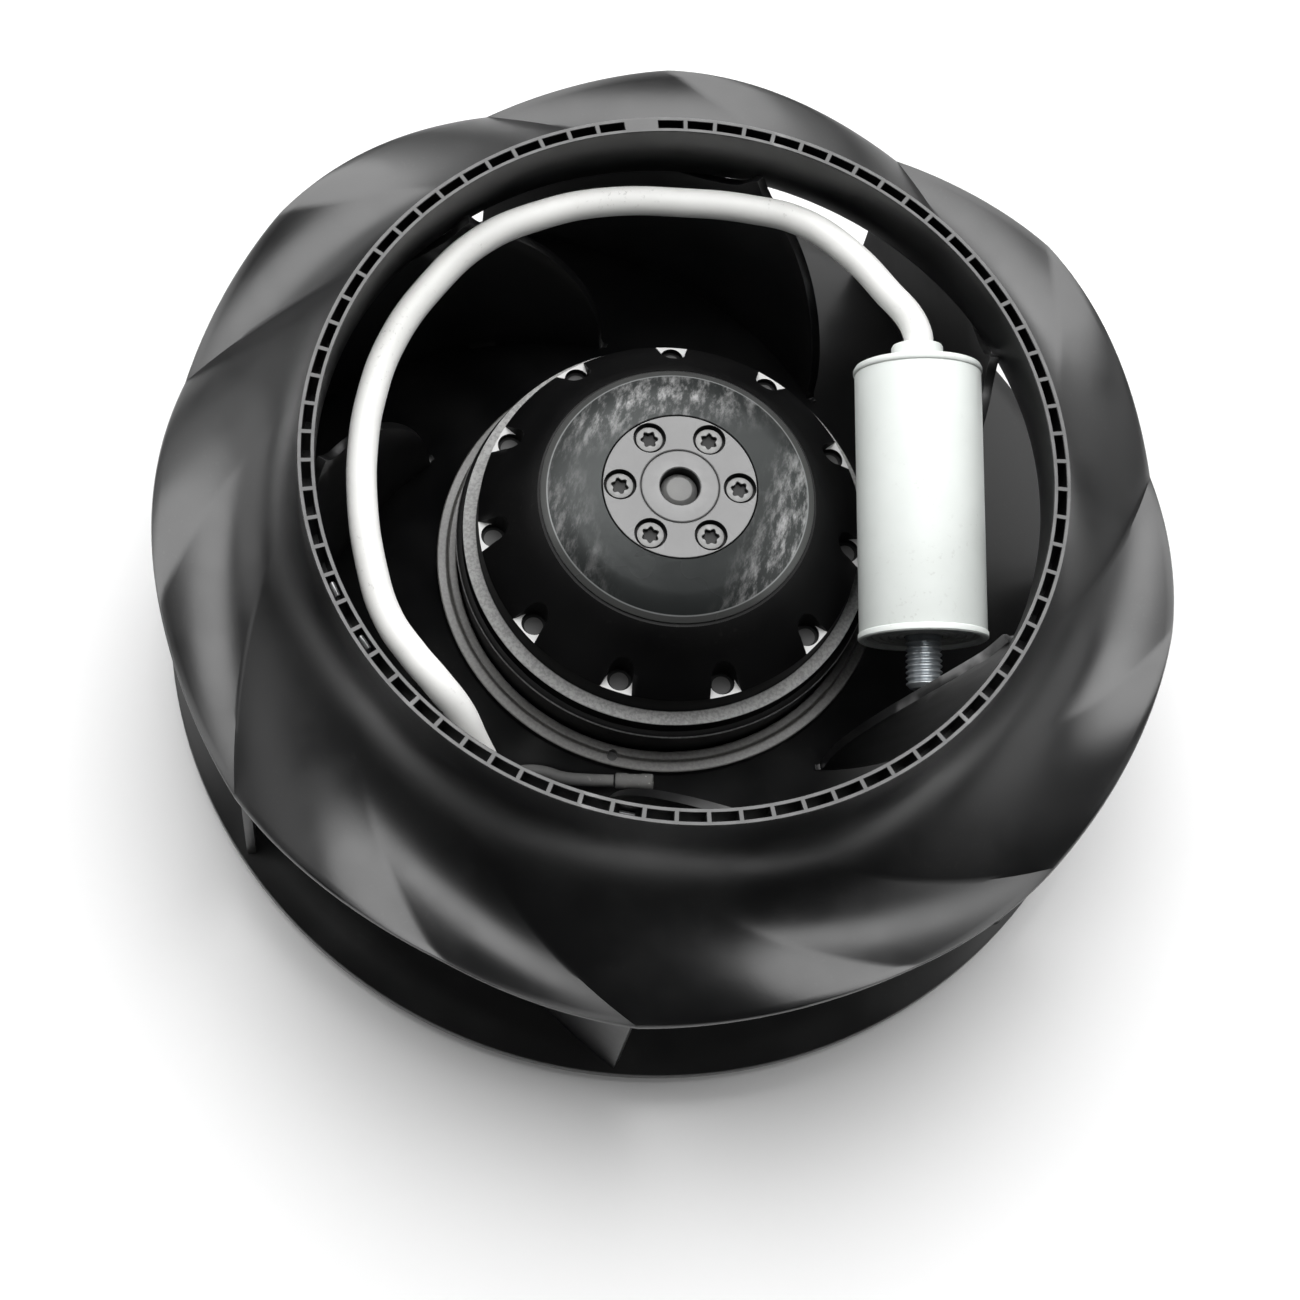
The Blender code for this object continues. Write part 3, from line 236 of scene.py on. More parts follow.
def new_group(name, inputs, outputs):
    """An empty shader group with named sockets. Returns it with its inner ends."""
    group = bpy.data.node_groups.new(name, "ShaderNodeTree")
    for label, kind in inputs:
        group.interface.new_socket(label, in_out="INPUT", socket_type=SOCKET_KINDS[kind])
    for label, kind in outputs:
        group.interface.new_socket(label, in_out="OUTPUT", socket_type=SOCKET_KINDS[kind])
    entry = group.nodes.new("NodeGroupInput").outputs
    way_out = group.nodes.new("NodeGroupOutput").inputs
    return group, entry, way_out


def noise(tree, place, scale, detail=3.0, roughness=0.55):
    return add_node(tree, "ShaderNodeTexNoise",
                    {"Vector": place, "Scale": scale, "Detail": detail, "Roughness": roughness})["Fac"]


def ramp(tree, value, low, high, start=0.0, end=1.0):
    """A soft step from start to end while the value goes from low to high."""
    return add_node(tree, "ShaderNodeMapRange",
                    {"Value": value, "From Min": low, "From Max": high, "To Min": start, "To Max": end},
                    interpolation_type="SMOOTHSTEP")["Result"]


def times(tree, first, second):
    return calculate(tree, "MULTIPLY", first, second)


def mix(tree, share, first, second):
    """The first colour where the share is nothing, the second where it is one."""
    return add_node(tree, "ShaderNodeMix", {0: share, 6: first, 7: second}, data_type="RGBA")[2]


# %% [markdown]
# Real finishes share a few effects: the fine grain of a moulded or painted skin, dust that settles on
# what faces up, and edges that are rubbed paler. On the black plastic and the zinc these pale edges
# are also a painted highlight. Each is a node group, built once and placed in many materials with its
# own values. The groups only work out colours, masks and heights. The shader itself stays in each
# material.

# %% Node groups: grain, dust, and worn edges with painted highlights
grain_group, entry, way_out = new_group(
    "skin_grain", [("Place", "place"), ("Scale", "value")], [("Height", "value"), ("Cloud", "value")])
grain_group.links.new(noise(grain_group, entry["Place"], entry["Scale"]), way_out["Height"])
cloud_scale = times(grain_group, entry["Scale"], 0.03)
clouds = noise(grain_group, entry["Place"], cloud_scale, detail=4.0)
grain_group.links.new(ramp(grain_group, clouds, 0.3, 0.7), way_out["Cloud"])

dust_group, entry, way_out = new_group(
    "settled_dust",
    [("Place", "place"), ("Colour", "colour"), ("Dust Colour", "colour"), ("Amount", "value")],
    [("Colour", "colour"), ("Mask", "value")])
specks = ramp(dust_group, noise(dust_group, entry["Place"], 900.0, detail=2.0), 0.6, 0.72)
drifts = ramp(dust_group, noise(dust_group, entry["Place"], 45.0, detail=4.0), 0.42, 0.68)
facing = add_node(dust_group, "ShaderNodeSeparateXYZ",
                  {0: add_node(dust_group, "ShaderNodeNewGeometry", {})["Normal"]})["Z"]
upward = ramp(dust_group, facing, 0.1, 0.9)
film = calculate(dust_group, "ADD", specks, 0.25)
settled = times(dust_group, times(dust_group, film, drifts), upward)
dust_mask = times(dust_group, settled, entry["Amount"])
dust_group.links.new(dust_mask, way_out["Mask"])
dust_group.links.new(mix(dust_group, dust_mask, entry["Colour"], entry["Dust Colour"]), way_out["Colour"])

wear_and_glint_group, entry, way_out = new_group(
    "worn_and_glinting_edges",
    [("Place", "place"), ("Colour", "colour"), ("Wear And Glint Colour", "colour"), ("Amount", "value")],
    [("Colour", "colour"), ("Mask", "value")])
sharp = ramp(wear_and_glint_group, add_node(wear_and_glint_group, "ShaderNodeNewGeometry", {})["Pointiness"], 0.52, 0.62)
broken = ramp(wear_and_glint_group, noise(wear_and_glint_group, entry["Place"], 320.0, detail=4.0), 0.3, 0.6, 0.35, 1.0)
wear_and_glint_mask = times(wear_and_glint_group, times(wear_and_glint_group, sharp, broken), entry["Amount"])
wear_and_glint_group.links.new(wear_and_glint_mask, way_out["Mask"])
wear_and_glint_group.links.new(mix(wear_and_glint_group, wear_and_glint_mask, entry["Colour"], entry["Wear And Glint Colour"]), way_out["Colour"])
print("groups:", [group.name for group in bpy.data.node_groups])

# %% [markdown]
# Every finish starts the same way: two close colours that drift into each other, a roughness that
# drifts with them, a fine bump, then paler edges, from wear and in places a painted highlight, and
# dust on top. One function makes that from a few numbers. What is special about a finish, such as the
# foil's painted glints, is added afterwards.

# %% A recipe for finishes
def use_group(tree, group, sockets):
    return add_node(tree, "ShaderNodeGroup", sockets, node_tree=group)


def opaque(colour):
    return (*colour, 1.0)


def make_finish(name, colour, second, roughness, metallic=0.0, grain=900.0, depth=0.02, spread=0.1,
                gloss=0.5, dust=0.0, dust_colour=(0.32, 0.31, 0.29), edge_wear_and_glint=0.0, wear_and_glint_colour=(0.2, 0.2, 0.2)):
    """A procedural finish. Depth is the grain's, in millimetres."""
    material = bpy.data.materials.new(name)
    material.use_nodes = True
    tree = material.node_tree
    surface = tree.nodes["Principled BSDF"].inputs
    surface["Metallic"].default_value = metallic
    surface["Specular IOR Level"].default_value = gloss
    place = add_node(tree, "ShaderNodeTexCoord", {})["Object"]
    skin = use_group(tree, grain_group, {"Place": place, "Scale": grain})
    tint = mix(tree, skin["Cloud"], opaque(colour), opaque(second))
    if edge_wear_and_glint:
        tint = use_group(tree, wear_and_glint_group, {"Place": place, "Colour": tint, "Wear And Glint Colour": opaque(wear_and_glint_colour),
                                            "Amount": edge_wear_and_glint})["Colour"]
    rough = calculate(tree, "MULTIPLY_ADD", skin["Cloud"], spread, roughness - 0.5 * spread)
    if dust:
        layer = use_group(tree, dust_group, {"Place": place, "Colour": tint,
                                             "Dust Colour": opaque(dust_colour), "Amount": dust})
        tint = layer["Colour"]
        rough = calculate(tree, "MULTIPLY_ADD", layer["Mask"], 0.4, rough)
    tree.links.new(tint, surface["Base Color"])
    tree.links.new(rough, surface["Roughness"])
    bump = add_node(tree, "ShaderNodeBump",
                    {"Height": skin["Height"], "Strength": 0.6, "Distance": depth * MM})
    tree.links.new(bump["Normal"], surface["Normal"])
    return material


# %% [markdown]
# Now the finishes themselves. Colours are amounts of light and not the numbers of a colour picker, so
# black plastic is far below one hundredth. A metallic share between nothing and one stands for metal
# under paint, oil or dirt.

# %% The finishes
# The black plastic's pale edges are partly wear and partly a painted highlight, along the blades' leading
# edges and the pocket rims.
black_plastic = make_finish(
    "black_plastic", (0.002, 0.0021, 0.0024), (0.0035, 0.0036, 0.004), roughness=0.34, grain=1500.0,
    depth=0.012, gloss=0.8, dust=0.025, edge_wear_and_glint=0.6, wear_and_glint_colour=(0.16, 0.16, 0.16))
black_paint = make_finish(
    "black_paint", (0.0008, 0.0008, 0.001), (0.0016, 0.0016, 0.0018), roughness=0.5, grain=1100.0,
    depth=0.012, gloss=0.2, dust=0.02, edge_wear_and_glint=0.2, wear_and_glint_colour=(0.05, 0.05, 0.05))
grey_metal = make_finish(
    "grey_metal", (0.15, 0.15, 0.15), (0.195, 0.195, 0.195), roughness=0.55, metallic=0.55,
    grain=1300.0, depth=0.02, edge_wear_and_glint=0.5, wear_and_glint_colour=(0.5, 0.5, 0.5))
screw_steel = make_finish(
    "screw_steel", (0.15, 0.15, 0.15), (0.24, 0.24, 0.235), roughness=0.55, metallic=0.3,
    grain=1500.0, depth=0.03, edge_wear_and_glint=0.5, wear_and_glint_colour=(0.4, 0.4, 0.4))
bright_steel = make_finish(
    "bright_steel", (0.52, 0.52, 0.52), (0.62, 0.62, 0.62), roughness=0.32, metallic=1.0,
    grain=2200.0, depth=0.008)
cast_metal = make_finish(
    "cast_metal", (0.4, 0.4, 0.41), (0.5, 0.5, 0.51), roughness=0.5, metallic=1.0, grain=700.0,
    depth=0.05, edge_wear_and_glint=0.4, wear_and_glint_colour=(0.7, 0.7, 0.7))
black_rubber = make_finish(
    "black_rubber", (0.06, 0.06, 0.06), (0.1, 0.1, 0.097), roughness=0.75, grain=1400.0, depth=0.03,
    dust=0.9, dust_colour=(0.36, 0.355, 0.34))
white_plastic = make_finish(
    "white_plastic", (0.72, 0.755, 0.73), (0.78, 0.815, 0.79), roughness=0.45, grain=900.0,
    depth=0.01, dust=0.3, dust_colour=(0.4, 0.4, 0.37))
dark_resin = make_finish(
    "dark_resin", (0.05, 0.05, 0.052), (0.08, 0.08, 0.08), roughness=0.6, grain=800.0, depth=0.04,
    dust=0.2)
grey_resin = make_finish(
    "grey_resin", (0.42, 0.43, 0.42), (0.6, 0.61, 0.6), roughness=0.6, grain=800.0, depth=0.05)
# The zinc's near-white, bluish edge colour is a painted highlight on the thread crests.
zinc = make_finish(
    "zinc", (0.3, 0.33, 0.35), (0.42, 0.45, 0.47), roughness=0.3, metallic=0.7, grain=900.0,
    depth=0.02, edge_wear_and_glint=1.0, wear_and_glint_colour=(0.93, 0.96, 0.98))
clip_steel = make_finish(
    "clip_steel", (0.6, 0.61, 0.62), (0.72, 0.72, 0.72), roughness=0.32, metallic=1.0, grain=1800.0,
    depth=0.01)
white_jacket = make_finish(
    "white_jacket", (0.8, 0.8, 0.78), (0.87, 0.87, 0.85), roughness=0.5, grain=600.0, depth=0.03,
    spread=0.15, dust=0.4, dust_colour=(0.3, 0.3, 0.28))
film_wrap = make_finish(
    "film", (0.66, 0.64, 0.56), (0.72, 0.7, 0.62), roughness=0.35, grain=500.0, depth=0.02)
print("finishes:", len(bpy.data.materials))

# %% [markdown]
# Some marks have a place of their own. The rotor's ledge shows grey, because the paint is thin there,
# and the hub collar is scuffed on top. A pale grey band on the rotor's rim lip is a painted highlight,
# and the grey plate is painted nearly black below its top face, as painted shade in its bore and
# counterbores. Object coordinates give the height on the piece itself, so a band can be painted
# between two heights, with fine specks to break it up.

# %% Bands of wear, bare metal, painted highlight and painted shade
def tint_of(material):
    """The tree and shader of a finish, the colour it has so far and the place on the piece."""
    tree = material.node_tree
    shader = tree.nodes["Principled BSDF"]
    place = add_node(tree, "ShaderNodeTexCoord", {})["Object"]
    return tree, shader, shader.inputs["Base Color"].links[0].from_socket, place


def height_of(tree, place):
    return add_node(tree, "ShaderNodeSeparateXYZ", {0: place})["Z"]


def wear_and_light_band(material, bottom, top, fade, colour, amount):
    """Let another colour show between two heights, fading out just below the top one."""
    tree, shader, tint, place = tint_of(material)
    height = height_of(tree, place)
    band = times(tree, ramp(tree, height, (bottom - 0.1) * MM, (bottom + 0.2) * MM),
                 ramp(tree, height, (top - fade) * MM, top * MM, 1.0, 0.0))
    specks = ramp(tree, noise(tree, place, 1500.0, detail=2.0), 0.35, 0.65, 0.7 * amount, amount)
    tree.links.new(mix(tree, times(tree, band, specks), tint, opaque(colour)), shader.inputs["Base Color"])
    print("rubbed band from %.1f to %.1f mm" % (bottom, top))


wear_and_light_band(black_paint, bottom=55.2, top=56.2, fade=0.15, colour=(0.4, 0.4, 0.395), amount=1.0)
# Painted highlight: the rim's lip is made pale grey.
wear_and_light_band(black_paint, bottom=50.5, top=51.2, fade=0.2, colour=(0.3, 0.3, 0.3), amount=0.9)
# Painted shade: the plate is made nearly black below its top face, in its bore and counterbores.
wear_and_light_band(grey_metal, bottom=60.0, top=79.95, fade=0.1, colour=(0.03, 0.03, 0.03), amount=1.6)
scuffed_plastic = black_plastic.copy()
wear_and_light_band(scuffed_plastic, bottom=39.0, top=41.5, fade=0.5, colour=(0.2, 0.195, 0.185), amount=0.6)

# %% [markdown]
# Turned pieces are drawn as half a section and spun round the fan's axis. The corners of a real
# turned or moulded piece are never sharp, and it is the small rounding that catches the light, so a
# bevel goes on the sharp edges. A finished piece rides on one of the model's bodies and stands for
# one node of the solid model.

# %% Helpers for turned pieces
SMOOTH_ANGLE = 38.0


def spun(section, steps):
    """Turn a closed section of (radius, height) points, in millimetres, about Z."""
    shape = bmesh.new()
    points = [shape.verts.new((radius * MM, 0.0, height * MM)) for radius, height in section]
    ring = zip(points, points[1:] + points[:1])
    lines = [shape.edges.new(pair) for pair in ring if max(pair[0].co.x, pair[1].co.x) > 0.0]
    bmesh.ops.spin(shape, geom=points + lines, cent=(0, 0, 0), axis=(0, 0, 1), angle=2.0 * math.pi,
                   steps=steps, use_merge=True)
    bmesh.ops.remove_doubles(shape, verts=shape.verts[:], dist=0.0005 * MM)
    bmesh.ops.recalc_face_normals(shape, faces=shape.faces[:])
    return shape


def soften(shape, width, segments=2, angle=32.0, chosen=None):
    """Round the edges of a bmesh that are sharper than an angle in degrees."""
    edges = []
    for edge in shape.edges:
        if len(edge.link_faces) == 2 and edge.calc_face_angle() > math.radians(angle):
            if chosen is None or chosen(edge):
                edges.append(edge)
    bmesh.ops.bevel(shape, geom=edges, offset=width * MM, segments=segments, profile=0.5, affect="EDGES",
                    material=-1, clamp_overlap=True)


def add_piece(node, shape, finish, body, smooth=SMOOTH_ANGLE):
    """Turn a bmesh into a piece that rides on a body and stands for a CAD node."""
    name = node + "_skin"
    mesh = to_mesh(name, shape)
    mesh.materials.append(finish)
    mesh.shade_smooth()
    mesh.set_sharp_from_angle(angle=math.radians(smooth))
    piece = add_object(name, mesh)
    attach(piece, body)
    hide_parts(node)
    print(name, "has", len(mesh.polygons), "faces")
    return piece


def at_angle(radius, angle, height=0.0):
    return Vector((radius * math.cos(angle), radius * math.sin(angle), height))


def share_of(value):
    """Keep a share between nothing and one."""
    return min(1.0, max(0.0, value))


# %% [markdown]
# The shroud is the plate that covers the blades: a collar with a ring of small pockets for balance
# clips, and a skirt that flares out to a seven-lobed edge. Each lobe starts in a sharp crease that
# lies along a blade. On a crease the skirt's section is a Bezier line, which leaves the collar
# straight down and reaches the edge nearly level.

# %% The lines of the shroud
BLADES, POCKETS, POCKET_COLUMNS = 7, 77, 6
COLUMNS = POCKETS * POCKET_COLUMNS
LOBE, PITCH, COLUMN = (2.0 * math.pi / count for count in (BLADES, POCKETS, COLUMNS))
TIP_RADIUS, TIP_ANGLE, SPIRAL = 59.9, math.radians(12.95), 0.57466
COLLAR_RADIUS, COLLAR_BORE, COLLAR_TOP, FLARE_TOP = 81.0, 77.4, 96.6, 86.0
EDGE_RADIUS, EDGE_LOW, EDGE_RISE, EDGE_THICKNESS = 112.5, 56.0, 11.3, 2.0
FLARE_PULL, EDGE_PULL = Vector((0.0, -14.0)), Vector((-17.5, 5.0))
CREST = 0.57


def blade_angle(radius):
    return TIP_ANGLE + math.log(radius / TIP_RADIUS) / SPIRAL


def lobe_rise(angle, radius):
    """Rise of the skirt above its creases: quick up to a crest, slower down to the next crease."""
    past = (angle - blade_angle(radius)) % LOBE / LOBE
    if past < CREST:
        share = math.sin(0.5 * math.pi * past / CREST)
    else:
        share = 1.0 - ((past - CREST) / (1.0 - CREST)) ** 1.12
    reach = share_of((radius - COLLAR_RADIUS) / (EDGE_RADIUS - COLLAR_RADIUS))
    return EDGE_RISE * reach ** 1.6 * share


def skirt_section(t):
    """Upper and under point of the skirt on a crease, from the collar (0) to the edge (1)."""
    start, end = Vector((COLLAR_RADIUS, FLARE_TOP)), Vector((EDGE_RADIUS, EDGE_LOW))
    first, second = start + FLARE_PULL, end + EDGE_PULL
    s = 1.0 - t
    upper = s ** 3 * start + 3 * s * s * t * first + 3 * s * t * t * second + t ** 3 * end
    run = s * s * (first - start) + 2 * s * t * (second - first) + t * t * (end - second)
    across = Vector((-run.y, run.x)).normalized()
    return upper, upper - across * ((COLLAR_RADIUS - COLLAR_BORE) * s + EDGE_THICKNESS * t)


print("lobes rise %.1f mm at the edge" % lobe_rise(blade_angle(EDGE_RADIUS) + CREST * LOBE, EDGE_RADIUS))

# %% [markdown]
# A plain spin can't give creases, so the spun section is twisted: every ring is turned by the blades'
# own spiral, and then a column of points runs down each crease. After that the lobes are only a
# change of height. There are 462 columns, six to a pocket, so the ribs between the pockets fall on
# columns too.

# %% Spin and twist the shroud
SKIRT_ROWS, NUDGE_REACH = 30, 4.0
FIRST_POCKET = math.radians(4.54)
POCKET_INNER, POCKET_OUTER = 78.3, 80.1
EDGE_ROUND = [(111.95, 56.12), (112.3, 55.9), (112.5, 55.45), (112.48, 54.75), (112.25, 54.3)]
upper, under = zip(*(skirt_section(row / SKIRT_ROWS) for row in range(SKIRT_ROWS + 1)))
section = [tuple(point) for point in upper[:-1]] + EDGE_ROUND + [tuple(point) for point in under[::-2]]
section += [(COLLAR_BORE, 92.0), (COLLAR_BORE, COLLAR_TOP), (POCKET_INNER, COLLAR_TOP),
            (POCKET_OUTER, COLLAR_TOP), (COLLAR_RADIUS, COLLAR_TOP), (COLLAR_RADIUS, 91.0)]
shroud_shape = spun(section, COLUMNS)
first_column = FIRST_POCKET + 0.5 * PITCH - 0.5 * COLUMN
bmesh.ops.rotate(shroud_shape, verts=shroud_shape.verts[:], matrix=Matrix.Rotation(first_column, 3, "Z"))
nudge = (blade_angle(COLLAR_RADIUS) - first_column + 0.5 * COLUMN) % COLUMN - 0.5 * COLUMN
for vert in shroud_shape.verts:
    radius = vert.co.xy.length / MM
    past_collar = max(0.0, radius - COLLAR_RADIUS)
    twist = math.log(1.0 + past_collar / COLLAR_RADIUS) / SPIRAL + nudge * min(1.0, past_collar / NUDGE_REACH)
    angle = math.atan2(vert.co.y, vert.co.x) + twist
    vert.co = at_angle(radius * MM, angle, vert.co.z + lobe_rise(angle, radius) * MM)
print("columns are moved by %.3f degrees to meet the creases" % math.degrees(nudge))

# %% [markdown]
# The pockets are the collar's own top faces, five columns wide, pushed down between the ribs. One
# pocket is moulded shut, so its faces stay. Then the rims of the pockets get a narrow bevel, because
# their pale outlines are what the eye sees first on this collar.

# %% Sink the balance pockets
SHUT_POCKET, POCKET_DEPTH = 23, 8.0


def pocket_number(angle):
    return round((angle - FIRST_POCKET) / PITCH) % POCKETS


def moved_verts(extruded):
    """The new points that an extrusion gives, which are then pulled to their place."""
    return [item for item in extruded["geom"] if isinstance(item, bmesh.types.BMVert)]


pocket_faces = []
for face in shroud_shape.faces:
    middle = face.calc_center_median() / MM
    if abs(middle.z - COLLAR_TOP) < 0.01 and POCKET_INNER < middle.xy.length < POCKET_OUTER:
        angle = math.atan2(middle.y, middle.x)
        column = math.floor((angle - first_column) / COLUMN) % POCKET_COLUMNS
        if column != 0 and pocket_number(angle) != SHUT_POCKET:
            pocket_faces.append(face)
sunk = bmesh.ops.extrude_face_region(shroud_shape, geom=pocket_faces)
bmesh.ops.translate(shroud_shape, verts=moved_verts(sunk), vec=(0.0, 0.0, -POCKET_DEPTH * MM))
bmesh.ops.delete(shroud_shape, geom=pocket_faces, context="FACES")
bmesh.ops.recalc_face_normals(shroud_shape, faces=shroud_shape.faces[:])
soften(shroud_shape, width=0.13, segments=1, angle=60.0,
       chosen=lambda edge: min(vert.co.z for vert in edge.verts) > (COLLAR_TOP - 0.1) * MM)
add_piece("impeller_shroud", shroud_shape, black_plastic, "rotor")

# %% [markdown]
# Holes are cut with a Boolean modifier. Its result replaces the mesh for good, so the tool can go. A
# level face next to many holes has long thin corners, and smooth shading would smear light across it,
# so level faces are set flat again.

# %% Helpers for cutting
def add_rod(shape, radius, depth, matrix, segments=28, end_radius=None):
    """Add a closed rod to a bmesh, or a cone if its far end has another radius."""
    end_radius = radius if end_radius is None else end_radius
    bmesh.ops.create_cone(shape, cap_ends=True, segments=segments, radius1=radius * MM,
                          radius2=end_radius * MM, depth=depth * MM, matrix=matrix)


def cut_out(piece, shape, finishes=()):
    """Cut a closed bmesh out of a piece for good. The cut faces take the tool's finishes."""
    mesh = to_mesh("tool", shape)
    for finish in finishes:
        mesh.materials.append(finish)
    tool = add_object("tool", mesh)
    cut = piece.modifiers.new("cut", "BOOLEAN")
    cut.operation = "DIFFERENCE"
    cut.solver = "EXACT"
    cut.material_mode = "TRANSFER" if finishes else "INDEX"
    cut.object = tool
    depsgraph = bpy.context.evaluated_depsgraph_get()
    result = bpy.data.meshes.new_from_object(piece.evaluated_get(depsgraph))
    piece.modifiers.remove(cut)
    bpy.data.objects.remove(tool)
    result.name = piece.name
    piece.data = result
    result.shade_smooth()
    result.set_sharp_from_angle(angle=math.radians(SMOOTH_ANGLE))
    for polygon in result.polygons:
        polygon.use_smooth = abs(polygon.normal.z) < 0.999
    print(piece.name, "has", len(result.polygons), "faces after cutting")


# %% [markdown]
# The back disc is dished like a shallow cone and has a collar in the middle that grips the motor. The
# collar's top has two bands, and one small notch marks where the moulding was lined up. The turned
# section gives the bands, and the notch is cut with a small round tool.

# %% The back disc
RIM_RADIUS, RIM_HEIGHT, DISC_THICKNESS = 112.0, 7.8, 2.8
HUB_RADIUS, HUB_BORE, HUB_FOOT, HUB_TOP, HUB_LIP = 50.8, 46.3, 18.2, 39.2, 40.4
RELIEF_RADIUS = 49.7
DISC_STEPS = 12


def disc_height(radius):
    """Top of the disc, a cone that grows steeper towards the hub."""
    inward = RIM_RADIUS - radius
    return RIM_HEIGHT + 0.34 * inward + 0.0024 * inward ** 2


radii = [HUB_RADIUS + (RIM_RADIUS - HUB_RADIUS) * step / DISC_STEPS for step in range(DISC_STEPS + 1)]
section = [(HUB_BORE, HUB_FOOT), (HUB_BORE, HUB_LIP), (48.3, HUB_LIP), (48.5, HUB_TOP), (HUB_RADIUS, HUB_TOP)]
section += [(radius, disc_height(radius)) for radius in radii]
section += [(radius, disc_height(radius) - DISC_THICKNESS) for radius in radii[::-2]]
section += [(RELIEF_RADIUS, disc_height(RELIEF_RADIUS) - 4.0), (RELIEF_RADIUS, HUB_FOOT)]
disc_shape = spun(section, 168)
soften(disc_shape, width=0.35, angle=40.0)
disc = add_piece("impeller_disc", disc_shape, scuffed_plastic, "rotor")
notch = bmesh.new()
notch_place = at_angle(48.6 * MM, math.radians(-88.0), (HUB_TOP + 1.0) * MM)
add_rod(notch, radius=1.15, depth=3.6, matrix=Matrix.Translation(notch_place), segments=24)
cut_out(disc, notch)

# %% [markdown]
# Seven blades stand between disc and shroud. Each follows a logarithmic spiral, which keeps the same
# lean to the air all along. A flat grid is the natural start: its columns become steps along the
# spiral and its rows go from the disc up to the shroud or, near the inlet, up to the sloping leading
# edge. Thickness comes next, and a round bevel makes the leading edge the pale line seen in the inlet.

# %% The blades
BLADE_END, BLADE_HALF, BLADE_GAP = 111.6, 1.0, 0.05
LEADING_FOOT = disc_height(TIP_RADIUS) + 0.9
LEADING_TOP = FLARE_TOP - 6.0
LEAST_HEIGHT = 0.6
FILLET = 3.0


def shroud_under(radius):
    """Height of the shroud's under side on a crease."""
    for inner, outer in zip(under, under[1:]):
        if inner.x <= radius <= outer.x:
            return inner.y + (outer.y - inner.y) * (radius - inner.x) / (outer.x - inner.x)
    return under[0].y if radius < under[0].x else under[-1].y


def blade_head(radius):
    """Top of a blade: the leading edge, then a fillet up to the collar, then the shroud."""
    ceiling = shroud_under(radius) - BLADE_GAP
    share = share_of((radius - TIP_RADIUS) / (COLLAR_BORE - TIP_RADIUS))
    edge = LEADING_FOOT + (LEADING_TOP - LEADING_FOOT) * math.sin(0.5 * math.pi * share) ** 0.5
    fillet = share_of(1.0 - (COLLAR_BORE - radius) / FILLET) ** 2
    return min(ceiling, edge + (ceiling - edge) * fillet)


lean = math.atan(SPIRAL)
for number in range(BLADES):
    shape = bmesh.new()
    bmesh.ops.create_grid(shape, x_segments=64, y_segments=10, size=0.5)
    for vert in shape.verts:
        along, up = vert.co.x + 0.5, vert.co.y + 0.5
        radius = TIP_RADIUS + (BLADE_END - TIP_RADIUS) * along ** 1.6
        angle = blade_angle(radius) + number * LOBE
        place = at_angle(radius, angle) + at_angle(BLADE_HALF, angle + math.pi - lean)
        foot = disc_height(place.length) + BLADE_GAP
        head = max(foot + LEAST_HEIGHT, blade_head(place.length))
        vert.co = Vector((place.x, place.y, foot + (head - foot) * up)) * MM
    bmesh.ops.recalc_face_normals(shape, faces=shape.faces[:])
    side = shape.faces[:][len(shape.faces) // 2]
    thickness = math.copysign(2.0 * BLADE_HALF * MM, side.normal.dot(side.calc_center_median()))
    bmesh.ops.solidify(shape, geom=shape.faces[:], thickness=thickness)
    bmesh.ops.recalc_face_normals(shape, faces=shape.faces[:])
    soften(shape, width=0.75, segments=3, angle=50.0)
    add_piece("blade_%d" % (number + 1), shape, black_plastic, "rotor")

# %% [markdown]
# The motor's rotor is a pressed steel cup, painted black, with a ledge at the foot of its dome whose
# paint is thin enough for the grey metal to show. Eleven blind holes sit in square spot faces that
# were milled after painting, so their floors are bare. The floors of the holes themselves are painted
# dark grey as painted shade. The cup is spun first, then cut twice: the tools carry these finishes on
# their floors, and the cut faces take them over.

# %% The rotor cup
CONE_TOP_RADIUS, CONE_TOP, CONE_FOOT_RADIUS, CONE_FOOT = 29.7, 75.5, 42.6, 62.0
CUP_HOLES, FIRST_HOLE, HOLE_CIRCLE, HOLE_RADIUS = 11, math.radians(6.4), 39.3, 2.75
HOLE_FLOOR, SPOT_FLOOR, TOOL_TOP = 60.4, 62.1, 80.0
SPOT_REACH, SPOT_OUTER_WIDTH, SPOT_INNER_WIDTH = 3.35, 7.4, 5.5


def cone_height(radius):
    """Height of the slope round the dome."""
    share = (radius - CONE_TOP_RADIUS) / (CONE_FOOT_RADIUS - CONE_TOP_RADIUS)
    return CONE_TOP + (CONE_FOOT - CONE_TOP) * share


rim = [(46.0, 8.0), (46.0, 49.6), (46.9, 50.4), (46.9, 51.0), (46.2, 51.5), (45.5, 51.6)]
ledge = [(45.5, 55.5), (42.9, 56.0), (42.55, 56.2), (42.4, 56.6)]
slope = [(radius, cone_height(radius)) for radius in (42.4, 39.0, 34.0)]
dome = [(30.3, 75.0), (30.3, 74.7), (16.9, 79.5), (16.9, 74.2), (8.6, 74.2)]
inside = [(8.6, 69.5), (17.2, 69.5), (24.8, 67.5), (33.0, 62.2), (33.0, 50.3), (44.0, 50.3), (44.0, 8.0)]
cup_shape = spun(rim + ledge + slope + dome + inside, 176)
soften(cup_shape, width=0.2, angle=40.0)
cup = add_piece("rotor_cup", cup_shape, black_paint, "rotor")
bare_steel = make_finish("bare_steel", (0.5, 0.5, 0.5), (0.6, 0.6, 0.59), roughness=0.6, metallic=0.1,
                         grain=1800.0, depth=0.02)
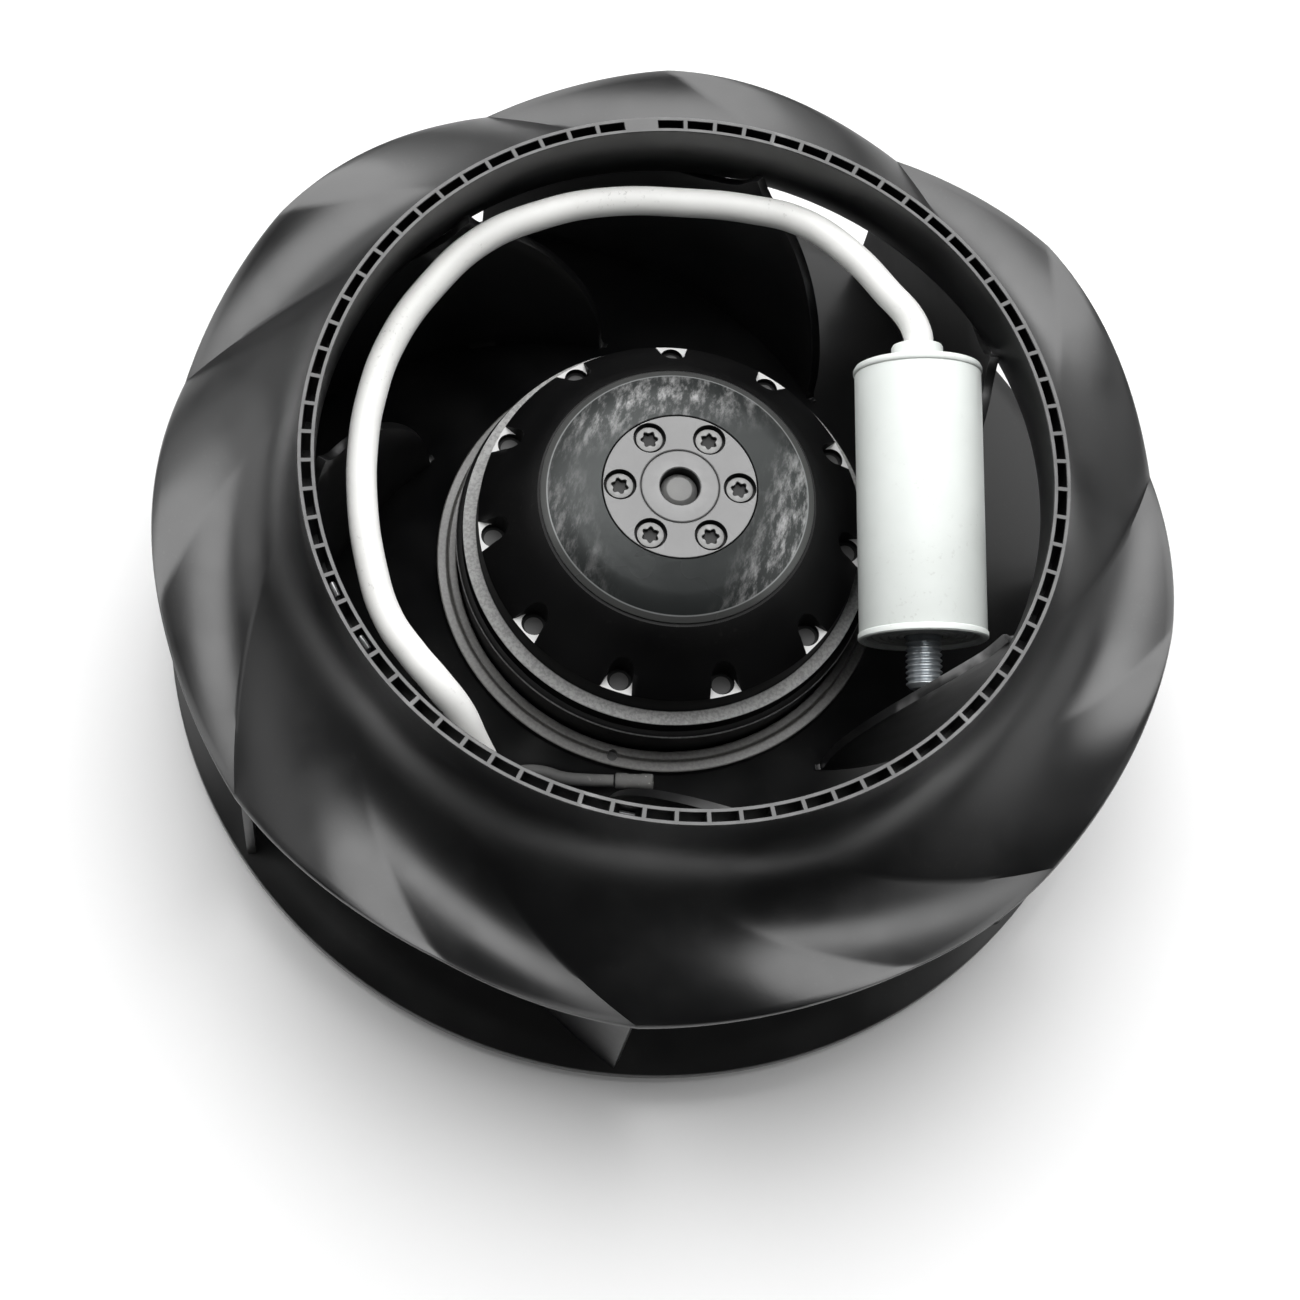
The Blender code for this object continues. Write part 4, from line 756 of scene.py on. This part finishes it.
# Painted shade: the blind holes' floors are made dark grey.
shaded_hole_floor = make_finish("shaded_hole_floor", (0.05, 0.05, 0.05), (0.09, 0.09, 0.09), roughness=0.65, metallic=0.3,
                        grain=1500.0, depth=0.04)
holes, spots = bmesh.new(), bmesh.new()
middle = Matrix.Translation((0.0, 0.0, 0.5 * (TOOL_TOP + HOLE_FLOOR) * MM))
for number in range(CUP_HOLES):
    angle = FIRST_HOLE + number * 2.0 * math.pi / CUP_HOLES
    place = Matrix.Translation(at_angle(HOLE_CIRCLE * MM, angle)) @ Matrix.Rotation(angle, 4, "Z")
    add_rod(holes, HOLE_RADIUS, TOOL_TOP - HOLE_FLOOR, place @ middle)
    corners = bmesh.ops.create_cube(spots, size=1.0)["verts"]
    for vert in corners:
        outer = vert.co.x > 0.0
        vert.co = Vector((SPOT_REACH if outer else 0.0,
                          vert.co.y * (SPOT_OUTER_WIDTH if outer else SPOT_INNER_WIDTH),
                          TOOL_TOP if vert.co.z > 0.0 else SPOT_FLOOR)) * MM
    bmesh.ops.transform(spots, matrix=place, verts=corners)
for tool in (holes, spots):
    bmesh.ops.recalc_face_normals(tool, faces=tool.faces[:])
hole_floors = [face for face in holes.faces if face.normal.z < -0.9]
bmesh.ops.inset_individual(holes, faces=hole_floors, thickness=0.7 * MM)
for face in hole_floors + [face for face in spots.faces if face.normal.z < -0.9]:
    face.material_index = 1
cut_out(cup, holes, (black_paint, shaded_hole_floor))
cut_out(cup, spots, (black_paint, bare_steel))

# %% [markdown]
# The grey hub plate closes the rotor and holds the shaft. It has a fine groove round the middle, a
# bore in which the chamfered shaft end can be seen, and six counterbored holes that go on into the
# cup. One turned tool stands at the first hole, and spinning it as copies gives the other five.

# %% Hub plate and shaft
SCREWS, SCREW_CIRCLE, FIRST_SCREW = 6, 12.9, math.radians(15.4)
SCREW_TURN = 2.0 * math.pi / SCREWS
BORE_SECTION = [(0.0, 65.1), (2.2, 65.1), (2.2, 77.6), (3.55, 77.6), (3.55, 85.0), (0.0, 85.0)]
PLATE_SECTION = [(4.3, 65.3), (6.4, 65.3), (6.4, 68.0), (8.3, 68.0), (8.3, 74.5), (16.6, 74.5),
                 (16.6, 80.1), (8.65, 80.1), (8.45, 79.75), (8.25, 80.1), (4.6, 80.1), (4.3, 79.8)]
plate_shape = spun(PLATE_SECTION, 120)
soften(plate_shape, width=0.15, angle=60.0)
plate = add_piece("rotor_hub_plate", plate_shape, grey_metal, "rotor")
for piece in (plate, cup):
    bores = spun(BORE_SECTION, 40)
    bmesh.ops.translate(bores, verts=bores.verts[:], vec=at_angle(SCREW_CIRCLE * MM, FIRST_SCREW))
    bmesh.ops.spin(bores, geom=bores.verts[:] + bores.edges[:] + bores.faces[:], cent=(0, 0, 0),
                   axis=(0, 0, 1), angle=(SCREWS - 1) * SCREW_TURN, steps=SCREWS - 1, use_duplicate=True)
    cut_out(piece, bores)
shaft_steel = make_finish("shaft_steel", (0.13, 0.13, 0.13), (0.2, 0.2, 0.195), roughness=0.6, metallic=0.5,
                          grain=1600.0, depth=0.03)
shaft_shape = spun([(0.0, 5.0), (3.6, 5.0), (4.0, 5.4), (4.0, 77.5), (2.75, 78.6), (0.0, 78.6)], 48)
soften(shaft_shape, width=0.15, angle=20.0)
add_piece("rotor_shaft", shaft_shape, shaft_steel, "rotor")

# %% [markdown]
# A screw is turned as well, with a plain round recess in its head. Pulling the recess's points in and
# out six times round makes the lobes that the driver grips. Its colour follows the height: nearly
# black below the top rim of the head, in the recess and down the head's sides, and plain steel on top.

# %% The screws
SCREW_SECTION = [(0.0, 68.9), (1.6, 68.9), (1.9, 69.4), (1.9, 77.9), (2.9, 77.9), (2.9, 79.3), (1.75, 79.3),
                 (1.6, 79.0), (1.5, 78.2), (0.0, 78.2)]
RECESS_FLOOR, RECESS_RADIUS, RECESS_LOBES, LOBE_DEPTH = 78.1, 2.0, 6.0, 0.15
tree, shader, tint, place = tint_of(screw_steel)
top_share = ramp(tree, height_of(tree, place), 78.9 * MM, 79.25 * MM)
tree.links.new(mix(tree, top_share, (0.012, 0.012, 0.012, 1.0), tint), shader.inputs["Base Color"])
for number in range(SCREWS):
    shape = spun(SCREW_SECTION, 48)
    for vert in shape.verts:
        if vert.co.z > RECESS_FLOOR * MM and vert.co.xy.length < RECESS_RADIUS * MM:
            vert.co.xy *= 1.0 + LOBE_DEPTH * math.cos(RECESS_LOBES * math.atan2(vert.co.y, vert.co.x))
    soften(shape, width=0.18, angle=50.0, chosen=lambda edge: edge.verts[0].co.xy.length > 2.5 * MM)
    bmesh.ops.rotate(shape, verts=shape.verts[:], matrix=Matrix.Rotation(0.7 * number, 3, "Z"))
    spot = at_angle(SCREW_CIRCLE * MM, FIRST_SCREW + number * SCREW_TURN)
    bmesh.ops.translate(shape, verts=shape.verts[:], vec=spot)
    add_piece("rotor_screw_%d" % (number + 1), shape, screw_steel, "rotor")

# %% [markdown]
# A foil label lies round the plate, bare here. Dark foil is a mirror with fine crinkles. It is nearly
# black, except in a few zones where the crinkles are painted silver as a painted reflection. A zone is
# a direction from the middle: the further a point lies that way, the more of the painted reflection
# comes through. A clear margin with a bright line runs round the edge, painted by distance from the
# axis.

# %% The foil label
GLINT_ZONES = ((-5.0, 14.0, 27.0, 0.22), (118.0, 9.0, 24.0, 0.16), (-150.0, 16.0, 30.0, 0.1))
label_foil = make_finish("label_foil", (0.03, 0.033, 0.033), (0.05, 0.054, 0.053), roughness=0.32,
                         metallic=0.5, grain=420.0, depth=0.05, spread=0.2)
tree, shader, tint, place = tint_of(label_foil)
streaks = add_node(tree, "ShaderNodeMapping",
                   {"Vector": place, "Rotation": (0.0, 0.0, 0.6), "Scale": (1.0, 0.35, 1.0)})["Vector"]
crinkle = ramp(tree, noise(tree, streaks, 420.0, detail=5.0, roughness=0.7), 0.42, 0.72)
# Painted reflection: in each zone the crinkles are painted silver, as glints of light on the foil.
for angle, start, end, silver in GLINT_ZONES:
    toward = add_node(tree, "ShaderNodeVectorMath", {0: place, 1: at_angle(1.0, math.radians(angle))},
                      operation="DOT_PRODUCT")["Value"]
    zone = ramp(tree, toward, start * MM, end * MM)
    tint = mix(tree, times(tree, zone, crinkle), tint, opaque((2.4 * silver,) * 3))
flat = add_node(tree, "ShaderNodeVectorMath", {0: place, 1: (1.0, 1.0, 0.0)}, operation="MULTIPLY")["Vector"]
reach = add_node(tree, "ShaderNodeVectorMath", {0: flat}, operation="LENGTH")["Value"]
tint = mix(tree, ramp(tree, reach, 28.1 * MM, 28.2 * MM), tint, (0.32, 0.33, 0.33, 1.0))
tint = mix(tree, ramp(tree, reach, 28.35 * MM, 28.5 * MM), tint, (0.09, 0.092, 0.09, 1.0))
tree.links.new(tint, shader.inputs["Base Color"])
label_shape = spun([(16.9, 79.8), (23.3, 77.6), (29.7, 75.2), (29.7, 75.5), (23.3, 77.9), (16.9, 80.1)], 132)
soften(label_shape, width=0.08, segments=1, angle=50.0)
add_piece("rating_label", label_shape, label_foil, "rotor")

# %% [markdown]
# Balance clips are folded strips of spring steel, pushed into a pocket until the fan runs true. A
# strip is drawn as its folded section, swept along the pocket, and its edges are rounded.

# %% The balance clips
CLIP_LENGTH, CLIP_CIRCLE = 3.2, 79.2
CLIP_POCKETS = ((-31, 0.4), (-29, 0.4), (-19, 2.0))
for number, (pocket, depth) in enumerate(CLIP_POCKETS, 1):
    top = COLLAR_TOP - depth
    outline = [(-0.6, top - 5.0), (-0.6, top - 0.5), (0.0, top), (0.6, top - 0.5), (0.6, top - 5.0),
               (0.25, top - 5.0), (0.25, top - 0.7), (0.0, top - 0.4), (-0.25, top - 0.7), (-0.25, top - 5.0)]
    shape = bmesh.new()
    face = shape.faces.new([shape.verts.new((x * MM, -0.5 * CLIP_LENGTH * MM, z * MM)) for x, z in outline])
    swept = bmesh.ops.extrude_face_region(shape, geom=[face])
    bmesh.ops.translate(shape, verts=moved_verts(swept), vec=(0.0, CLIP_LENGTH * MM, 0.0))
    bmesh.ops.recalc_face_normals(shape, faces=shape.faces[:])
    soften(shape, width=0.1, angle=30.0)
    angle = FIRST_POCKET + pocket * PITCH
    shape.transform(Matrix.Rotation(angle, 4, "Z") @ Matrix.Translation((CLIP_CIRCLE * MM, 0.0, 0.0)))
    add_piece("balance_clip_%d" % number, shape, clip_steel, "rotor")

# %% [markdown]
# The capacitor is a white plastic can with rolled rims. Its lid has a stub that holds the cable, and a
# grey resin plug with ring grooves closes the other end, where a zinc-plated stud sticks out. All four
# are spun upright about Z and then moved into the tilted place where the can lies.

# %% The capacitor
THREAD_TURNS, THREAD_PITCH, THREAD_START = 8, 1.25, -9.9
CREST_RADIUS, ROOT_RADIUS = 3.95, 3.42


def add_can_piece(node, section, steps, finish, smooth=SMOOTH_ANGLE):
    """Spin a section upright and lay it down with the can."""
    shape = spun(section, steps)
    shape.transform(CAN_FRAME)
    add_piece(node, shape, finish, "capacitor", smooth)


can_section = [(12.6, 0.4), (12.9, 0.0), (13.8, 0.0), (14.1, 0.3), (14.1, 1.3), (13.95, 1.5), (13.75, 1.6),
               (13.85, 1.9), (13.85, 58.6), (13.75, 58.9), (13.95, 59.0), (14.1, 59.2), (14.1, 59.9),
               (13.7, 60.6), (13.0, 60.8), (11.4, 60.8), (11.0, 60.45), (0.0, 60.45), (0.0, 58.8),
               (12.6, 58.8)]
add_can_piece("capacitor_can", can_section, 120, white_plastic)

base_section = [(4.3, 3.8), (4.3, 0.8)]
for radius in (5.6, 7.4, 9.2, 11.0):
    base_section += [(radius - 0.3, 0.8), (radius - 0.15, 1.15), (radius + 0.15, 1.15), (radius + 0.3, 0.8)]
base_section += [(12.3, 0.8), (12.3, 3.8)]
add_can_piece("capacitor_base", base_section, 96, grey_resin)

stud_section = [(0.0, -10.6), (3.0, -10.6), (3.5, -10.1)]
for turn_number in range(THREAD_TURNS):
    height = THREAD_START + THREAD_PITCH * turn_number
    stud_section += [(CREST_RADIUS, height + 0.25), (CREST_RADIUS, height + 0.45),
                     (ROOT_RADIUS, height + 0.9), (ROOT_RADIUS, height + 1.05)]
stud_section += [(CREST_RADIUS, 0.4), (CREST_RADIUS, 4.1), (7.0, 4.1), (7.0, 6.1), (0.0, 6.1)]
add_can_piece("capacitor_stud", stud_section, 48, zinc, smooth=25.0)

collar_section = [(3.75, 61.1), (5.85, 61.1), (5.75, 61.6), (5.65, 65.0), (5.4, 65.45), (3.95, 65.6),
                  (3.75, 65.3)]
add_can_piece("capacitor_cable_collar", collar_section, 64, white_plastic)

# %% [markdown]
# Each lead ends in a crimped sleeve. A sleeve is a short turned tube with a rolled lip and a waist
# where the tool pressed it. With its sleeve in place a lead is complete, and the cable and both leads
# get their finishes.

# %% Sleeves, and finishes for the cords
SLEEVE_SECTION = [(0.0, 0.0), (1.55, 0.0), (1.8, 0.25), (1.8, 2.4), (1.66, 3.0), (1.66, 5.4), (1.8, 6.0),
                  (1.8, 8.1), (1.5, 8.4), (1.1, 8.4), (0.9, 7.6), (0.0, 7.6)]
SLEEVE_GAP = 0.3
sleeves = []
for number, route in enumerate(LEAD_ROUTES, 1):
    before, end = in_metres(route[-2:])
    run = (end - before).normalized()
    shape = spun(SLEEVE_SECTION, 36)
    soften(shape, width=0.12, angle=40.0)
    turn = run.to_track_quat("Z", "Y").to_matrix().to_4x4()
    shape.transform(Matrix.Translation(end + run * SLEEVE_GAP * MM) @ turn)
    sleeves.append(add_piece("lead_sleeve_%d" % number, shape, black_rubber, "capacitor"))
cable.data.materials.append(white_jacket)
for lead, sleeve, route in zip(leads, sleeves, LEAD_ROUTES):
    lead.data.materials.append(black_rubber)

# %% [markdown]
# Underneath, the motor stands on a cast flange with four tapped holes, a rear cap over the bearing and
# a rubber grommet for the supply wires. They are turned pieces too, and the fixing holes are cut with
# small chamfers, as a tapped hole has.

# %% Flange, rear cap and grommet
FIXING_HOLES, FIXING_CIRCLE, FIXING_RADIUS = 4, 33.0, 1.65
THROUGH = 30.0
FLANGE_SECTION = [(11.3, 0.0), (45.0, 0.0), (45.0, 6.0), (14.0, 6.0), (14.0, 66.0), (11.3, 66.0),
                  (11.3, 57.7), (9.5, 57.7), (9.5, 18.0), (11.3, 18.0)]
flange_shape = spun(FLANGE_SECTION, 132)
soften(flange_shape, width=0.5, segments=3, angle=50.0)
flange = add_piece("stator_flange", flange_shape, cast_metal, "stator")
bores = bmesh.new()
for number in range(FIXING_HOLES):
    place = Matrix.Translation(at_angle(FIXING_CIRCLE, number * 2.0 * math.pi / FIXING_HOLES) * MM)
    add_rod(bores, FIXING_RADIUS, THROUGH, place)
    add_rod(bores, 2.6, 1.0, place, end_radius=1.6)
grommet_place = at_angle(38.0, 0.25 * math.pi) * MM
add_rod(bores, 4.1, THROUGH, Matrix.Translation(grommet_place), segments=40)
cut_out(flange, bores)
grommet_shape = spun([(2.6, 0.3), (3.8, 0.3), (3.8, 6.3), (5.0, 6.3), (5.0, 7.2), (2.6, 7.2)], 48)
soften(grommet_shape, width=0.3, segments=3, angle=50.0)
bmesh.ops.translate(grommet_shape, verts=grommet_shape.verts[:], vec=grommet_place)
add_piece("supply_cable_grommet", grommet_shape, black_rubber, "stator")
cap_shape = spun([(0.0, 1.0), (9.6, 1.0), (11.0, 1.6), (11.0, 8.7), (9.6, 8.7), (9.6, 2.4), (0.0, 2.4)], 72)
soften(cap_shape, width=0.3, segments=3, angle=30.0)
add_piece("rear_cap", cap_shape, cast_metal, "stator")

# %% [markdown]
# What is left of the solid model is sealed inside the motor and the can: laminated cores, windings,
# bearings and the film roll. Their shapes are right as they are, so they only get finishes. The
# laminations are a stack of thin sheets, so bands of the wave texture give their edges.

# %% Finishes for the pieces inside
def add_bands(material, period, dark):
    """Darken a finish in even bands along Z, one every so many millimetres."""
    tree, shader, tint, place = tint_of(material)
    scale = 2.0 * math.pi / (20.0 * period * MM)
    bands = add_node(tree, "ShaderNodeTexWave", {"Vector": place, "Scale": scale, "Distortion": 0.4},
                     bands_direction="Z")["Fac"]
    tree.links.new(mix(tree, ramp(tree, bands, 0.2, 0.6), opaque(dark), tint), shader.inputs["Base Color"])


lamination = make_finish("lamination", (0.2, 0.2, 0.21), (0.27, 0.27, 0.28), roughness=0.5, metallic=1.0)
copper = make_finish("copper_winding", (0.45, 0.17, 0.07), (0.55, 0.24, 0.1), roughness=0.4, metallic=0.8)
add_bands(lamination, period=0.7, dark=(0.08, 0.08, 0.08))
add_bands(copper, period=0.8, dark=(0.2, 0.07, 0.03))
INSIDE = {
    "rotor_core": lamination, "stator_core": lamination,
    "winding_head_upper": copper, "winding_head_lower": copper,
    "thermal_protector": dark_resin, "capacitor_film_roll": film_wrap,
    "shaft_circlip": bright_steel, "preload_wave_spring": bright_steel,
}
for place in ("upper", "lower"):
    for part_name in ("outer_ring", "inner_ring", "ball_cage"):
        INSIDE["%s_bearing_%s" % (place, part_name)] = bright_steel
for name, finish in INSIDE.items():
    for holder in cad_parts[name].material_slots:
        holder.material = finish
print("inner pieces finished:", len(INSIDE))

# %% [markdown]
# Last, the view layer is updated once more.

# %% Update the view layer
bpy.context.view_layer.update()
